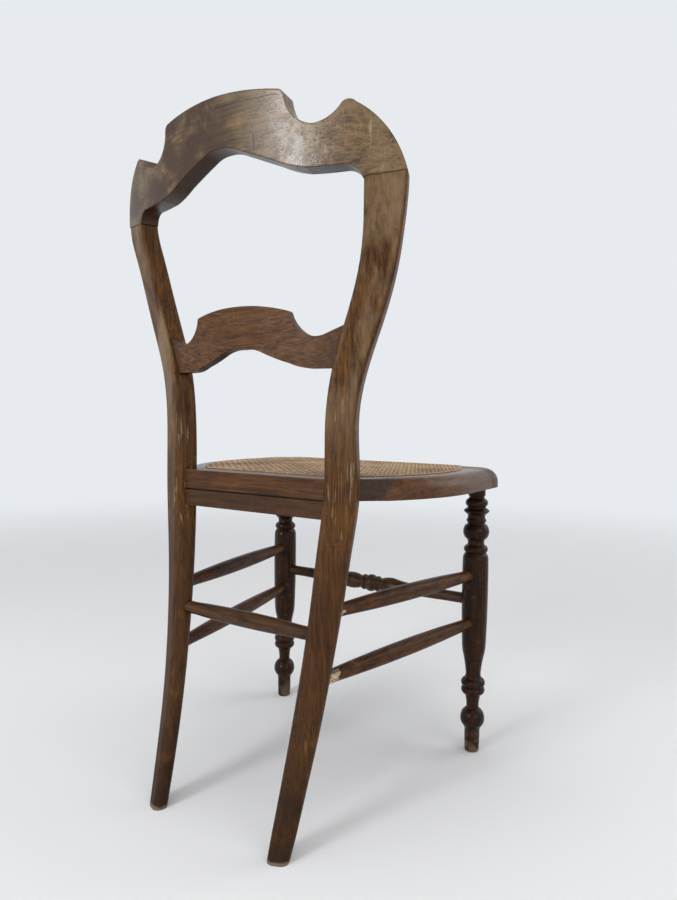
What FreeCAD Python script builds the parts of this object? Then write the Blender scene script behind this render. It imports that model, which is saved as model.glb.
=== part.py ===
"""Balloon back dining chair with a cane seat, turned front legs and swept rear legs.

Lengths are millimetres. +Z is up, the chair faces -Y, and the origin lies on the floor
under the middle of the chair's bounding box. "Left" is the +X side.
"""
import FreeCAD
import Part
import math
import os
import Sketcher
from FreeCAD import Placement, Rotation, Vector

doc = FreeCAD.newDocument("BalloonBackChair")
sheet = doc.addObject("Spreadsheet::Sheet", "Sizes")
derived = doc.addObject("App::VarSet", "Derived")

# Driving sizes of the chair
DRIVING = {
    "seat_height": 450.0,
    "seat_thick": 27.5,
    "seat_half_width": 226.0,
    "seat_side_radius": 249.0,
    "seat_widest_y": -64.0,
    "seat_front_y": -217.0,
    "seat_front_bow_radius": 1750.0,
    "seat_corner_radius": 48.0,
    "seat_corner_joint_y": -142.0,
    "seat_round_over": 20.0,
    "side_rail_width": 45.0,
    "block_forward": 10.0,
    "block_deep": 28.0,
    "block_step": 0.8,
    "opening_rear_y": 96.0,
    "opening_corner_reach": 26.0,
    "rail_rear_y": 139.0,
    "rail_end_x": 124.0,
    "post_x": 139.0,
    "post_y": 127.0,
    "post_turn": 22.5,
    "joint_height": 797.0,
    "joint_tilt": 5.5,
    "joint_gap": 0.1,
    "fit": 0.1,
    "crest_top": 907.5,
    "crest_thick": 25.0,
    "crest_bow_radius": 530.0,
    "crest_axis_y": -334.0,
    "crest_lean": 0.105,
    "splat_thick": 14.0,
    "splat_bow_radius": 530.0,
    "splat_axis_y": -373.0,
    "splat_lean": 0.12,
    "splat_bottom": 585.0,
    "splat_end_x": 147.0,
    "lower_rail_drop": 22.5,
    "lower_rail_thick": 22.0,
    "lower_rail_proud": 2.0,
    "rail_tenon_thick": 10.0,
    "rail_tenon_deep": 14.0,
    "side_tenon_x": 140.0,
    "side_tenon_wide": 16.0,
    "side_tenon_deep": 19.0,
    "tenon_high": 14.0,
    "side_rail_housing": 2.0,
    "front_leg_x": 188.0,
    "front_leg_y": -181.0,
    "leg_tenon_r": 11.0,
    "leg_tenon_long": 18.0,
    "leg_shaft_r": 20.2,
    "side_stretcher_rise": 4.0,
    "upper_side_height": 284.0,
    "lower_side_height": 205.0,
    "rear_stretcher_height": 258.0,
    "front_stretcher_height": 241.0,
    "stretcher_end_r": 8.5,
    "stretcher_straight": 30.0,
    "side_stretcher_r": 11.4,
    "rear_stretcher_r": 10.8,
    "stretcher_short_of_axis": 4.0,
    "crest_dowel_r": 5.0,
    "crest_dowel_long": 50.0,
    "frame_dowel_r": 4.0,
    "frame_dowel_long": 36.0,
    "front_dowel_spacing": 20.0,
    "hole_end_gap": 1.0,
    "cane_thick": 1.6,
    "cane_overlap": 12.0,
    "cane_gap_r": 5.2,
    "cane_pitch": 18.0,
    "cane_rim": 4.5,
    "cane_corner_radius": 30.0,
}

# Cross-sections of the rear leg, from the foot to the crest joint. Each has its share of the
# leg below the seat line or of the post above it, how far its middle lies out and back from
# the post's own axis, its width, its depth and the radius of its corners.
LEG_SECTIONS = (
    ("foot", "leg", 0.0, -63.5, 58.0, 27.0, 20.5, 9.5),
    ("ankle", "leg", 0.1375, -53.2, 44.3, 31.3, 21.5, 10.0),
    ("shin", "leg", 0.275, -43.2, 31.8, 34.2, 22.5, 10.5),
    ("shank", "leg", 0.4125, -33.9, 21.7, 36.5, 24.0, 11.0),
    ("calf", "leg", 0.55, -25.4, 13.9, 38.0, 26.5, 11.5),
    ("bend", "leg", 0.6875, -17.5, 8.0, 39.8, 28.8, 11.0),
    ("knee", "leg", 0.826, -10.4, 4.2, 41.3, 31.0, 9.5),
    ("hip", "leg", 1.0, -2.2, 1.0, 41.5, 32.8, 7.0),
    ("waist", "post", 0.26, -2.3, 1.7, 38.0, 32.2, 5.5),
    ("loin", "post", 0.427, 8.3, 3.6, 41.0, 31.0, 5.5),
    ("back", "post", 0.565, 24.1, 9.3, 43.3, 30.0, 5.5),
    ("blade", "post", 0.731, 41.0, 18.3, 43.8, 28.5, 5.0),
    ("neck", "post", 0.869, 48.5, 28.3, 46.0, 26.5, 4.0),
    ("joint", "post", 1.0, 51.7, 37.3, 49.2, 25.0, 3.0),
)


class Size:
    """A number together with the sheet formula that gives it."""

    def __init__(self, value, formula):
        self.value = value
        self.formula = formula

    def __add__(self, other):
        other = as_size(other)
        return Size(self.value + other.value, f"({self.formula} + {other.formula})")

    def __sub__(self, other):
        other = as_size(other)
        return Size(self.value - other.value, f"({self.formula} - {other.formula})")

    def __mul__(self, other):
        other = as_size(other)
        return Size(self.value * other.value, f"({self.formula} * {other.formula})")

    def __truediv__(self, other):
        other = as_size(other)
        return Size(self.value / other.value, f"({self.formula} / {other.formula})")

    def __neg__(self):
        return Size(-self.value, f"(0 - {self.formula})")


def as_size(number):
    return number if isinstance(number, Size) else Size(float(number), f"({number!r})")


def root(size):
    return Size(math.sqrt(size.value), f"sqrt({size.formula})")


def cosine(size):
    return Size(math.cos(math.radians(size.value)), f"cos({size.formula})")


def sine(size):
    return Size(math.sin(math.radians(size.value)), f"sin({size.formula})")


def arc_cosine(size):
    return Size(math.degrees(math.acos(size.value)), f"acos({size.formula})")


def keep(name, size):
    """Keeps a size that follows from others under a name of its own."""
    derived.addProperty("App::PropertyFloat", name)
    setattr(derived, name, size.value)
    derived.setExpression(name, size.formula)
    return Size(size.value, "Derived." + name)


def keep_point(name, point):
    return tuple(keep(f"{name}_{axis}", as_size(size)) for axis, size in zip("xyz", point))


def fill_sheet():
    """Writes every driving size into the sheet under its own name."""
    rows = dict(DRIVING)
    for name, _, _, out, back, wide, deep, corner in LEG_SECTIONS:
        rows[name + "_out"] = out
        rows[name + "_back"] = back
        rows[name + "_wide"] = wide
        rows[name + "_deep"] = deep
        rows[name + "_corner"] = corner
    sizes = {}
    for row, (alias, value) in enumerate(rows.items(), start=1):
        sheet.set(f"A{row}", alias.replace("_", " "))
        sheet.set(f"B{row}", repr(value))
        sheet.setAlias(f"B{row}", alias)
        sizes[alias] = Size(value, "Sizes." + alias)
    doc.recompute()
    return sizes


S = fill_sheet()

# Sizes that follow from the driving ones
SEAT_BOTTOM = keep("seat_bottom", S["seat_height"] - S["seat_thick"])
SEAT_LINE = keep("seat_line", S["seat_height"] - S["seat_thick"] / 2)
POST_RISE = keep("post_rise", S["joint_height"] - SEAT_LINE)
LOWER_RAIL_BOTTOM = keep("lower_rail_bottom", SEAT_BOTTOM - S["lower_rail_drop"])
TURN_COS = keep("turn_cos", cosine(S["post_turn"]))
TURN_SIN = keep("turn_sin", sine(S["post_turn"]))


def bind(thing, field, size):
    """Ties one property of an object to its formula in the sheet."""
    thing.setExpression(field, as_size(size).formula)


def place(thing, x, y, z, axis=None, angle=None):
    """Puts an object at a point given by sizes, turned about an axis if one is given."""
    if axis is not None:
        thing.Placement = Placement(Vector(0, 0, 0), Rotation(axis, angle.value))
        bind(thing, "Placement.Rotation.Angle", angle)
    for field, size in zip("xyz", (x, y, z)):
        bind(thing, "Placement.Base." + field, size)


def post_point(out, back):
    """The plan position of a point given out and back from the left post's axis."""
    x = S["post_x"] + out * TURN_COS + back * TURN_SIN
    y = S["post_y"] - out * TURN_SIN + back * TURN_COS
    return x, y


def section_height(kind, share):
    return SEAT_LINE * share if kind == "leg" else SEAT_LINE + POST_RISE * share


def leg_middle(height):
    """The plan position of the left rear leg's middle at a height below the seat."""
    legs = [row for row in LEG_SECTIONS if row[1] == "leg"]
    below = [row for row in legs if section_height("leg", row[2]).value <= height.value][-1]
    above = legs[legs.index(below) + 1]
    low = section_height("leg", below[2])
    share = (height - low) / (section_height("leg", above[2]) - low)
    out = S[below[0] + "_out"] + (S[above[0] + "_out"] - S[below[0] + "_out"]) * share
    back = S[below[0] + "_back"] + (S[above[0] + "_back"] - S[below[0] + "_back"]) * share
    return post_point(out, back)


def nearest_end(sketch, edge, point):
    first = (sketch.getPoint(edge, 1) - point).Length
    second = (sketch.getPoint(edge, 2) - point).Length
    return 1 if first <= second else 2


def pin_down(sketch, edge, end, x, y):
    """Fixes a point of a sketch by its two coordinates."""
    for kind, size, axis in (("DistanceX", x, -2), ("DistanceY", y, -1)):
        if size.value == 0.0:
            sketch.addConstraint(Sketcher.Constraint("PointOnObject", edge, end, axis))
            continue
        rule = Sketcher.Constraint(kind, -1, 1, edge, end, size.value)
        number = sketch.addConstraint(rule)
        sketch.renameConstraint(number, f"{kind[-1].lower()}{number}")
        bind(sketch, f"Constraints.{kind[-1].lower()}{number}", size)


def draw(sketch, start, steps):
    """Draws a closed outline: each step is a corner, or the middle and end of an arc."""
    at = tuple(as_size(value) for value in start)
    first = at
    for step in steps:
        points = [tuple(as_size(value) for value in point) for point in step]
        end = points[-1]
        a = Vector(at[0].value, at[1].value, 0)
        b = Vector(end[0].value, end[1].value, 0)
        if len(points) == 1:
            edge = sketch.addGeometry(Part.LineSegment(a, b), False)
        else:
            middle = Vector(points[0][0].value, points[0][1].value, 0)
            edge = sketch.addGeometry(Part.Arc(a, middle, b), False)
            spot = sketch.addGeometry(Part.Point(middle), True)
            sketch.addConstraint(Sketcher.Constraint("PointOnObject", spot, 1, edge))
            pin_down(sketch, spot, 1, *points[0])
        pin_down(sketch, edge, nearest_end(sketch, edge, a), *at)
        pin_down(sketch, edge, nearest_end(sketch, edge, b), *end)
        at = end
    if math.hypot(at[0].value - first[0].value, at[1].value - first[1].value) > 1e-6:
        raise ValueError("the outline is open")


def new_body(label):
    body = doc.addObject("PartDesign::Body", label)
    body.Label = label
    return body


def plane_sketch(body, name, role, x=0, y=0, z=0, axis=None, angle=None):
    """A sketch on one of a body's own planes, shifted and turned by sizes."""
    plane = [part for part in body.Origin.OriginFeatures if part.Role == role][0]
    sketch = body.newObject("Sketcher::SketchObject", name)
    sketch.AttachmentSupport = [(plane, "")]
    sketch.MapMode = "FlatFace"
    if axis is not None:
        sketch.AttachmentOffset = Placement(Vector(0, 0, 0), Rotation(axis, angle.value))
        bind(sketch, "AttachmentOffset.Rotation.Angle", angle)
    for field, size in zip("xyz", (x, y, z)):
        bind(sketch, "AttachmentOffset.Base." + field, size)
    return sketch


def pad(body, name, sketch, length):
    feature = body.newObject("PartDesign::Pad", name)
    feature.Profile = sketch
    bind(feature, "Length", length)
    return feature


def revolve(body, name, sketch, reference):
    feature = body.newObject("PartDesign::Revolution", name)
    feature.Profile = sketch
    feature.ReferenceAxis = reference
    feature.Angle = 360
    return feature


def box(name, corner, size):
    """A plain block between named sizes, used to cut a seat for another piece."""
    block = doc.addObject("Part::Box", name)
    for field, length in zip(("Length", "Width", "Height"), size):
        bind(block, field, length)
    place(block, *corner)
    return block


def rod(name, start, end, radius):
    """A round bar between two points given by sizes."""
    bar = doc.addObject("Part::Cylinder", name)
    bind(bar, "Radius", radius)
    lay_along(bar, start, end)
    bind(bar, "Height", distance(start, end))
    return bar


def distance(start, end):
    parts = [(as_size(b) - as_size(a)) for a, b in zip(start, end)]
    return root(parts[0] * parts[0] + parts[1] * parts[1] + parts[2] * parts[2])


def lay_along(thing, start, end):
    """Turns an object's own Z axis along the line from start to end and sets it there."""
    along = [as_size(b) - as_size(a) for a, b in zip(start, end)]
    across_y = -along[1]
    angle = arc_cosine(along[2] / distance(start, end))
    if (along[0].value, along[1].value) == (0.0, 0.0):
        place(thing, *start)
        return
    place(thing, *start, Vector(across_y.value, along[0].value, 0), angle)
    bind(thing, "Placement.Rotation.Axis.x", across_y)
    bind(thing, "Placement.Rotation.Axis.y", along[0])


def towards(start, end, length):
    """The point that lies a length from start on the way to end."""
    share = as_size(length) / distance(start, end)
    return tuple(as_size(a) + (as_size(b) - as_size(a)) * share for a, b in zip(start, end))


def flipped(point):
    return (-as_size(point[0]),) + tuple(point[1:])


def mirrored(source, label):
    """The same piece for the other side of the chair."""
    twin = doc.addObject("Part::Mirroring", label)
    twin.Label = label
    twin.Source = source
    twin.Base = Vector(0, 0, 0)
    twin.Normal = Vector(1, 0, 0)
    return twin


def without(label, base, tools):
    """A piece with the seats for its neighbours cut out of it."""
    cutter = tools[0]
    if len(tools) > 1:
        cutter = doc.addObject("Part::MultiFuse", label + "_cutter")
        cutter.Shapes = tools
    piece = doc.addObject("Part::Cut", label)
    piece.Label = label
    piece.Base = base
    piece.Tool = cutter
    return piece


def leg_section(body, row):
    """One rounded cross-section of the rear leg, as a sketch across it."""
    name, kind, share = row[:3]
    tilt = -S["joint_tilt"] if name == "joint" else as_size(0)
    sketch = plane_sketch(body, "section_" + name, "XY_Plane", S[name + "_out"],
                          S[name + "_back"], section_height(kind, share), Vector(0, 1, 0), tilt)
    w = S[name + "_wide"] / 2
    d = S[name + "_deep"] / 2
    r = S[name + "_corner"]
    nip = r * (1 - math.sqrt(0.5))
    draw(sketch, (w, r - d), (
        [(w, d - r)],
        [(w - nip, d - nip), (w - r, d)],
        [(r - w, d)],
        [(nip - w, d - nip), (-w, d - r)],
        [(-w, r - d)],
        [(nip - w, nip - d), (r - w, -d)],
        [(w - r, -d)],
        [(w - nip, nip - d), (w, r - d)],
    ))
    return sketch


def rear_leg_blank():
    """The swept rear leg and back post, in one piece, before its mortises."""
    body = new_body("rear_leg_blank")
    place(body, S["post_x"], S["post_y"], 0, Vector(0, 0, 1), -S["post_turn"])
    sections = [leg_section(body, row) for row in LEG_SECTIONS]
    loft = body.newObject("PartDesign::AdditiveLoft", "rear_leg_loft")
    loft.Profile = sections[0]
    loft.Sections = sections[1:]
    loft.Ruled = False
    return body


def on_bow(x, z, radius, share):
    """A point of an outline seen from behind, carried out radially from the bow's axis."""
    x = as_size(x)
    ratio = x / radius
    return x / root(as_size(1) - ratio * ratio) * share, as_size(z)


def bowed_band(name, radius, lean, thick, axis_y, low, high, from_height):
    """A leaning band bent about an upright axis behind which a rail is sawn out."""
    sketch = doc.addObject("Sketcher::SketchObject", name + "_profile")
    sketch.Placement = Placement(Vector(0, 0, 0), Rotation(Vector(1, 0, 0), 90))
    bottom = radius + lean * (low - from_height)
    top = radius + lean * (high - from_height)
    draw(sketch, (bottom, low), ([(top, high)], [(top - thick, high)],
                                 [(bottom - thick, low)], [(bottom, low)]))
    band = doc.addObject("Part::Revolution", name + "_band")
    band.Source = sketch
    band.Axis = Vector(0, 0, 1)
    band.Angle = 80
    band.Solid = True
    place(band, 0, axis_y, 0, Vector(0, 0, 1), as_size(50))
    return band


def radial_block(name, radius, thick, axis_y, start, steps):
    """A block whose sides follow an outline and run in towards the bow's axis."""
    layers = []
    for end, depth in (("rear", radius + thick * 2), ("front", radius - thick * 5)):
        sketch = doc.addObject("Sketcher::SketchObject", f"{name}_{end}_outline")
        sketch.Placement = Placement(Vector(0, 0, 0), Rotation(Vector(1, 0, 0), 90))
        bind(sketch, "Placement.Base.y", axis_y + depth)
        share = depth / radius
        draw(sketch, on_bow(*start, radius, share),
             [[on_bow(*point, radius, share) for point in step] for step in steps])
        layers.append(sketch)
    block = doc.addObject("Part::Loft", name + "_block")
    block.Sections = layers
    block.Ruled = True
    block.Solid = True
    return block


def both_halves(start, steps):
    """Extends a half outline, drawn from the middle round to the middle, to the other side."""
    ends = [start] + [step[-1] for step in steps]
    back = []
    for number in range(len(steps) - 1, -1, -1):
        step = steps[number]
        back.append([flipped(point) for point in step[:-1]] + [flipped(ends[number])])
    return list(steps) + back


def crest_outline():
    top = S["crest_top"]
    low = S["joint_height"]
    start = (0, top)
    steps = (
        [(46, top - 2.8), (88.5, top - 9.6)],
        [(92.7, top - 12.4), (94.6, top - 17.0)],
        [(105.6, top - 40.8), (127, top - 51.8)],
        [(146.5, top - 46.5), (161, top - 33.6)],
        [(168.2, top - 31.0), (176, top - 34.6)],
        [(209.4, top - 65.4), (228.4, low + 2.6)],
        [(228.4, low - 20)],
        [(181.6, low - 20)],
        [(181.6, low - 1.6)],
        [(175.8, low + 7.0), (163, low + 12.4)],
        [(140, low + 12.0), (118, low + 12.8)],
        [(98, low + 17.4), (78, low + 25.4)],
        [(52, low + 35.6), (27, low + 45.6)],
        [(13.5, low + 50.0), (0, low + 51.0)],
    )
    return start, steps


def crest_rail(dowel_holes):
    """The bowed top rail with its two ears, resting on the ends of the posts."""
    start, steps = crest_outline()
    band = bowed_band("crest", S["crest_bow_radius"], S["crest_lean"], S["crest_thick"],
                      S["crest_axis_y"], S["joint_height"] - 30, S["crest_top"] + 10,
                      S["joint_height"])
    block = radial_block("crest", S["crest_bow_radius"], S["crest_thick"], S["crest_axis_y"],
                         start, both_halves(start, steps))
    blank = doc.addObject("Part::MultiCommon", "crest_blank")
    blank.Shapes = [band, block]
    return without("crest_rail", blank, [joint_trim()] + dowel_holes)


def joint_trim():
    """Two blocks whose tops are the tilted joints between the posts and the crest."""
    reach = S["joint_wide"]
    body = new_body("joint_trim_left")
    place(body, S["post_x"], S["post_y"], 0, Vector(0, 0, 1), -S["post_turn"])
    sketch = plane_sketch(body, "joint_trim_plane", "XY_Plane", S["joint_out"],
                          S["joint_back"], S["joint_height"] + S["joint_gap"],
                          Vector(0, 1, 0), -S["joint_tilt"])
    draw(sketch, (reach, reach), ([(-reach, reach)], [(-reach, -reach)],
                                  [(reach, -reach)], [(reach, reach)]))
    block = pad(body, "joint_trim_pad", sketch, reach)
    block.Reversed = True
    pair = doc.addObject("Part::MultiFuse", "joint_trim")
    pair.Shapes = [body, mirrored(body, "joint_trim_right")]
    return pair


def splat_outline(grow):
    low = S["splat_bottom"] - grow
    end = S["splat_end_x"] + grow * 4
    rise = grow * 2
    start = (0, low + 79 + rise)
    steps = (
        [(36, low + 77 + rise), (70, low + 70.6 + rise)],
        [(73.6, low + 69 + rise), (75.2, low + 65 + rise)],
        [(84.3, low + 50.2 + rise), (100, low + 39.6 + rise)],
        [(111, low + 38 + rise), (123, low + 41 + rise)],
        [(end, low + 51 + rise)],
        [(end, low)],
        [(105, low)],
        [(88, low + 1.6), (74, low + 6.2)],
        [(52, low + 13.2), (33, low + 21)],
        [(17, low + 25.4), (0, low + 26)],
    )
    return start, steps


def splat(label, grow):
    """The bowed cross rail of the back, also made a little larger to cut its sockets."""
    grow = as_size(grow)
    start, steps = splat_outline(grow)
    thick = S["splat_thick"] + grow * 2
    axis_y = S["splat_axis_y"] + grow
    low = S["splat_bottom"] - 20
    high = S["splat_bottom"] + 100
    band = bowed_band(label, S["splat_bow_radius"], S["splat_lean"], thick, axis_y, low, high,
                      S["splat_bottom"])
    block = radial_block(label, S["splat_bow_radius"], thick, axis_y, start,
                         both_halves(start, steps))
    piece = doc.addObject("Part::MultiCommon", label)
    piece.Label = label
    piece.Shapes = [band, block]
    return piece


def tenoned_rail(label, rear_y, thick, low, high, tenon_y, tenon_low, grow):
    """A straight rail between the posts, housed at its ends, with a tenon where it has one."""
    grow = as_size(grow)
    half = S["rail_end_x"] + grow
    body = new_body(label)
    sketch = plane_sketch(body, label + "_plan", "XY_Plane", z=low - grow)
    front = rear_y - thick - grow
    rear = rear_y + grow
    draw(sketch, (half, front), ([(half, rear)], [(-half, rear)], [(-half, front)],
                                 [(half, front)]))
    pad(body, label + "_pad", sketch, high - low + grow * 2)
    if tenon_y is not None:
        reach = half + S["rail_tenon_deep"]
        t = S["rail_tenon_thick"] / 2 + grow
        sketch = plane_sketch(body, label + "_tenon_plan", "XY_Plane", z=tenon_low - grow)
        draw(sketch, (reach, tenon_y - t), ([(reach, tenon_y + t)], [(-reach, tenon_y + t)],
                                            [(-reach, tenon_y - t)], [(reach, tenon_y - t)]))
        pad(body, label + "_tenon_pad", sketch, S["tenon_high"] + grow * 2)
    return body


def lower_back_rail(label, grow):
    rear = S["rail_rear_y"] + S["lower_rail_proud"]
    thick = S["lower_rail_thick"]
    tenon_low = LOWER_RAIL_BOTTOM + (S["lower_rail_drop"] - S["tenon_high"]) / 2
    return tenoned_rail(label, rear, thick, LOWER_RAIL_BOTTOM, SEAT_BOTTOM,
                        rear - thick / 2, tenon_low, grow)


def seat_rear_rail(label, grow):
    thick = S["rail_rear_y"] - S["opening_rear_y"]
    return tenoned_rail(label, S["rail_rear_y"], thick, SEAT_BOTTOM, S["seat_height"],
                        None, None, grow)


SIDE_CENTRE_X = keep("side_centre_x", S["seat_half_width"] - S["seat_side_radius"])


def side_curve(radius, y):
    """The point of a circle about the seat's side centre at a given y."""
    away = as_size(y) - S["seat_widest_y"]
    return SIDE_CENTRE_X + root(radius * radius - away * away), as_size(y)


def side_curve_middle(radius, y_one, y_two):
    """A point of the same circle halfway along y between two others."""
    return side_curve(radius, (as_size(y_one) + y_two) / 2)


def front_curve(inset, x):
    """The point of the bowed front of the seat at a given x, moved in by an inset."""
    radius = S["seat_front_bow_radius"] - inset
    x = as_size(x)
    return x, S["seat_front_y"] + S["seat_front_bow_radius"] - root(radius * radius - x * x)


HOUSED_FRONT = keep("housed_front", S["hip_back"] - S["hip_deep"] / 2 + S["side_rail_housing"])


def post_front_line(x):
    """The point at an x of the plane where the side rail meets the post."""
    run = as_size(x) - S["post_x"]
    return as_size(x), S["post_y"] + HOUSED_FRONT / TURN_COS - run * TURN_SIN / TURN_COS


def rounded_rail(label, start, steps, is_outer):
    """A rail of the seat frame with its outer top edge rounded over."""
    body = new_body(label)
    sketch = plane_sketch(body, label + "_plan", "XY_Plane", z=SEAT_BOTTOM)
    draw(sketch, start, steps)
    solid = pad(body, label + "_pad", sketch, S["seat_thick"])
    doc.recompute()
    top = S["seat_height"].value
    names = []
    for number, edge in enumerate(solid.Shape.Edges, start=1):
        ends = [edge.valueAt(value) for value in edge.ParameterRange]
        if all(abs(end.z - top) < 0.01 and is_outer(end) for end in ends):
            names.append(f"Edge{number}")
    rounded = body.newObject("PartDesign::Fillet", label + "_round_over")
    rounded.Base = (solid, names)
    bind(rounded, "Radius", S["seat_round_over"])
    return body


def on_side_outline(point):
    away = math.hypot(point.x - SIDE_CENTRE_X.value, point.y - S["seat_widest_y"].value)
    return away > S["seat_side_radius"].value - 1


def seat_side_rail(dowel_holes):
    """The left side of the seat frame, with the flat block left beside the post."""
    label = "seat_side_rail_left"
    outer = S["seat_side_radius"]
    inner = outer - S["side_rail_width"]
    joint = S["seat_corner_joint_y"]
    widest = S["seat_widest_y"]
    rear = S["opening_rear_y"]
    end_x = S["rail_end_x"]
    inner_rear = side_curve(inner, rear)
    block_front = side_curve(outer, rear - S["block_forward"])
    block_inner = (block_front[0] - S["block_deep"], block_front[1] + 4)
    body = rounded_rail("side_rail_blank", inner_rear, (
        [(end_x, rear)],
        [post_front_line(end_x)],
        [post_front_line(end_x + 14)],
        [block_inner],
        [block_front],
        [side_curve_middle(outer, block_front[1], widest), (S["seat_half_width"], widest)],
        [(S["seat_half_width"], joint)],
        [side_curve(inner, joint)],
        [side_curve_middle(inner, joint, rear), inner_rear],
    ), on_side_outline)
    sketch = plane_sketch(body, "post_block_plan", "XY_Plane", z=SEAT_BOTTOM)
    block_rear = post_point(S["hip_out"] + S["hip_wide"] / 2 - 1, HOUSED_FRONT)
    step = S["block_step"]
    draw(sketch, post_front_line(end_x + 6), (
        [block_rear],
        [(block_front[0] - step, block_front[1] - step)],
        [(block_inner[0] - 8, block_inner[1] + 3)],
        [post_front_line(end_x + 6)],
    ))
    pad(body, "post_block_pad", sketch, S["seat_thick"])
    trimmed = without("side_rail_drilled", body, dowel_holes)
    piece = doc.addObject("Part::Fuse", label)
    piece.Label = label
    piece.Base = trimmed
    piece.Tool = side_tenon("side_rail_tenon", 0)
    return piece


def side_tenon(label, grow):
    """The tenon that holds the side rail in the front of the post."""
    grow = as_size(grow)
    wide = S["side_tenon_wide"]
    x, y = post_front_line(S["side_tenon_x"] + wide / 2)
    corner = (x - wide - grow, y - 1, SEAT_LINE - S["tenon_high"] / 2 - grow)
    deep = S["side_tenon_deep"] + 1 + grow
    return box(label, corner, (wide + grow * 2, deep, S["tenon_high"] + grow * 2))


def side_rail_housing():
    """The shallow flat sawn in the front of the post where the side rail butts."""
    fit = S["fit"]
    deep = S["side_rail_housing"] + 6
    wide = S["hip_wide"] + 20
    x, y = post_point(S["hip_out"] - wide / 2, HOUSED_FRONT + fit - deep)
    block = box("side_rail_housing", (0, 0, 0), (wide, deep, S["seat_thick"] + fit * 2))
    place(block, x, y, SEAT_BOTTOM - fit, Vector(0, 0, 1), -S["post_turn"])
    return block


def seat_front_rail(holes):
    """The front of the seat frame with its two corners, rounded over outside."""
    outer_x = S["seat_half_width"]
    corner = S["seat_corner_radius"]
    bow = S["seat_front_bow_radius"]
    joint = S["seat_corner_joint_y"]
    centre_x = outer_x - corner
    drop = root((bow - corner) * (bow - corner) - centre_x * centre_x)
    centre_y = S["seat_front_y"] + bow - drop
    share = bow / (bow - corner)
    corner_end = (centre_x * share, S["seat_front_y"] + bow - drop * share)
    nip = corner * math.sqrt(0.5)
    corner_middle = (centre_x + nip, centre_y - nip)
    inner_end = side_curve(S["seat_side_radius"] - S["side_rail_width"], joint)
    reach = S["opening_corner_reach"]
    width = S["side_rail_width"]
    opening_end = front_curve(width, inner_end[0] - reach)
    bend = ((inner_end[0] + opening_end[0]) / 2 + reach / 5,
            (inner_end[1] + opening_end[1]) / 2 - reach / 5)
    limit = inner_end[0].value + 1
    body = rounded_rail("front_rail_blank", corner_end, (
        [corner_middle, (outer_x, centre_y)],
        [(outer_x, joint)],
        [inner_end],
        [bend, opening_end],
        [(0, S["seat_front_y"] + width), flipped(opening_end)],
        [flipped(bend), flipped(inner_end)],
        [(-outer_x, joint)],
        [(-outer_x, centre_y)],
        [flipped(corner_middle), flipped(corner_end)],
        [(0, S["seat_front_y"]), corner_end],
    ), lambda point: abs(point.x) > limit)
    return without("seat_front_rail", body, holes)


def cane_seat():
    """The cane sheet as one net, lying on the frame and stopping short of its outside."""
    piece = doc.addObject("Part::Feature", "cane_seat")
    piece.Label = "cane_seat"
    top = S["seat_height"].value
    lap = S["cane_overlap"].value
    radius = S["seat_side_radius"].value - S["side_rail_width"].value + lap
    centre_x = SIDE_CENTRE_X.value
    widest = S["seat_widest_y"].value
    rear = S["opening_rear_y"].value + lap
    front = S["seat_front_y"].value + S["side_rail_width"].value - lap
    corner = S["cane_corner_radius"].value

    def edge_x(y):
        return centre_x + math.sqrt(radius ** 2 - (y - widest) ** 2)

    rear_x = edge_x(rear)
    side_end = front + corner
    side_x = edge_x(side_end)
    corner_x = side_x - corner
    bend_x = side_x - corner * 0.27
    bend_y = front + corner * 0.27
    points = [Vector(rear_x, rear, top), Vector(edge_x(widest), widest, top),
              Vector(side_x, side_end, top), Vector(bend_x, bend_y, top),
              Vector(corner_x, front, top)]
    other = [Vector(-point.x, point.y, point.z) for point in points]
    edges = [Part.Arc(*points[:3]).toShape(), Part.Arc(*points[2:]).toShape(),
             Part.LineSegment(points[4], other[4]).toShape(),
             Part.Arc(other[4], other[3], other[2]).toShape(),
             Part.Arc(other[2], other[1], other[0]).toShape(),
             Part.LineSegment(other[0], points[0]).toShape()]
    face = Part.Face(Part.Wire(edges))
    pitch = S["cane_pitch"].value
    gap = S["cane_gap_r"].value
    rim = S["cane_rim"].value + gap
    holes = []
    rows = int((rear - front - 2 * rim) / pitch)
    for row in range(rows + 1):
        y = (rear + front) / 2 + (row - rows / 2) * pitch
        half = min(edge_x(y), edge_x(y - gap), edge_x(y + gap)) - rim
        if y < side_end:
            half = min(half, corner_x + math.sqrt(max(0.0, (corner - rim) ** 2
                                                      - (side_end - y) ** 2)))
        count = int(half / pitch)
        for column in range(-count, count + 1):
            middle = Vector(column * pitch, y, top)
            holes.append(Part.Wire(Part.makeCircle(gap, middle)))
    print("cane gaps:", len(holes))
    face = Part.Face([face.OuterWire] + holes)
    piece.Shape = face.extrude(Vector(0, 0, S["cane_thick"].value))
    return piece


def turned(label, steps, length):
    """A piece turned in the lathe about its own Z axis, from its end at z = 0."""
    body = new_body(label)
    sketch = plane_sketch(body, label + "_profile", "XZ_Plane")
    draw(sketch, (0, 0), list(steps) + [[(0, length)], [(0, 0)]])
    revolve(body, label + "_turning", sketch, (sketch, ["V_Axis"]))
    return body


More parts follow.
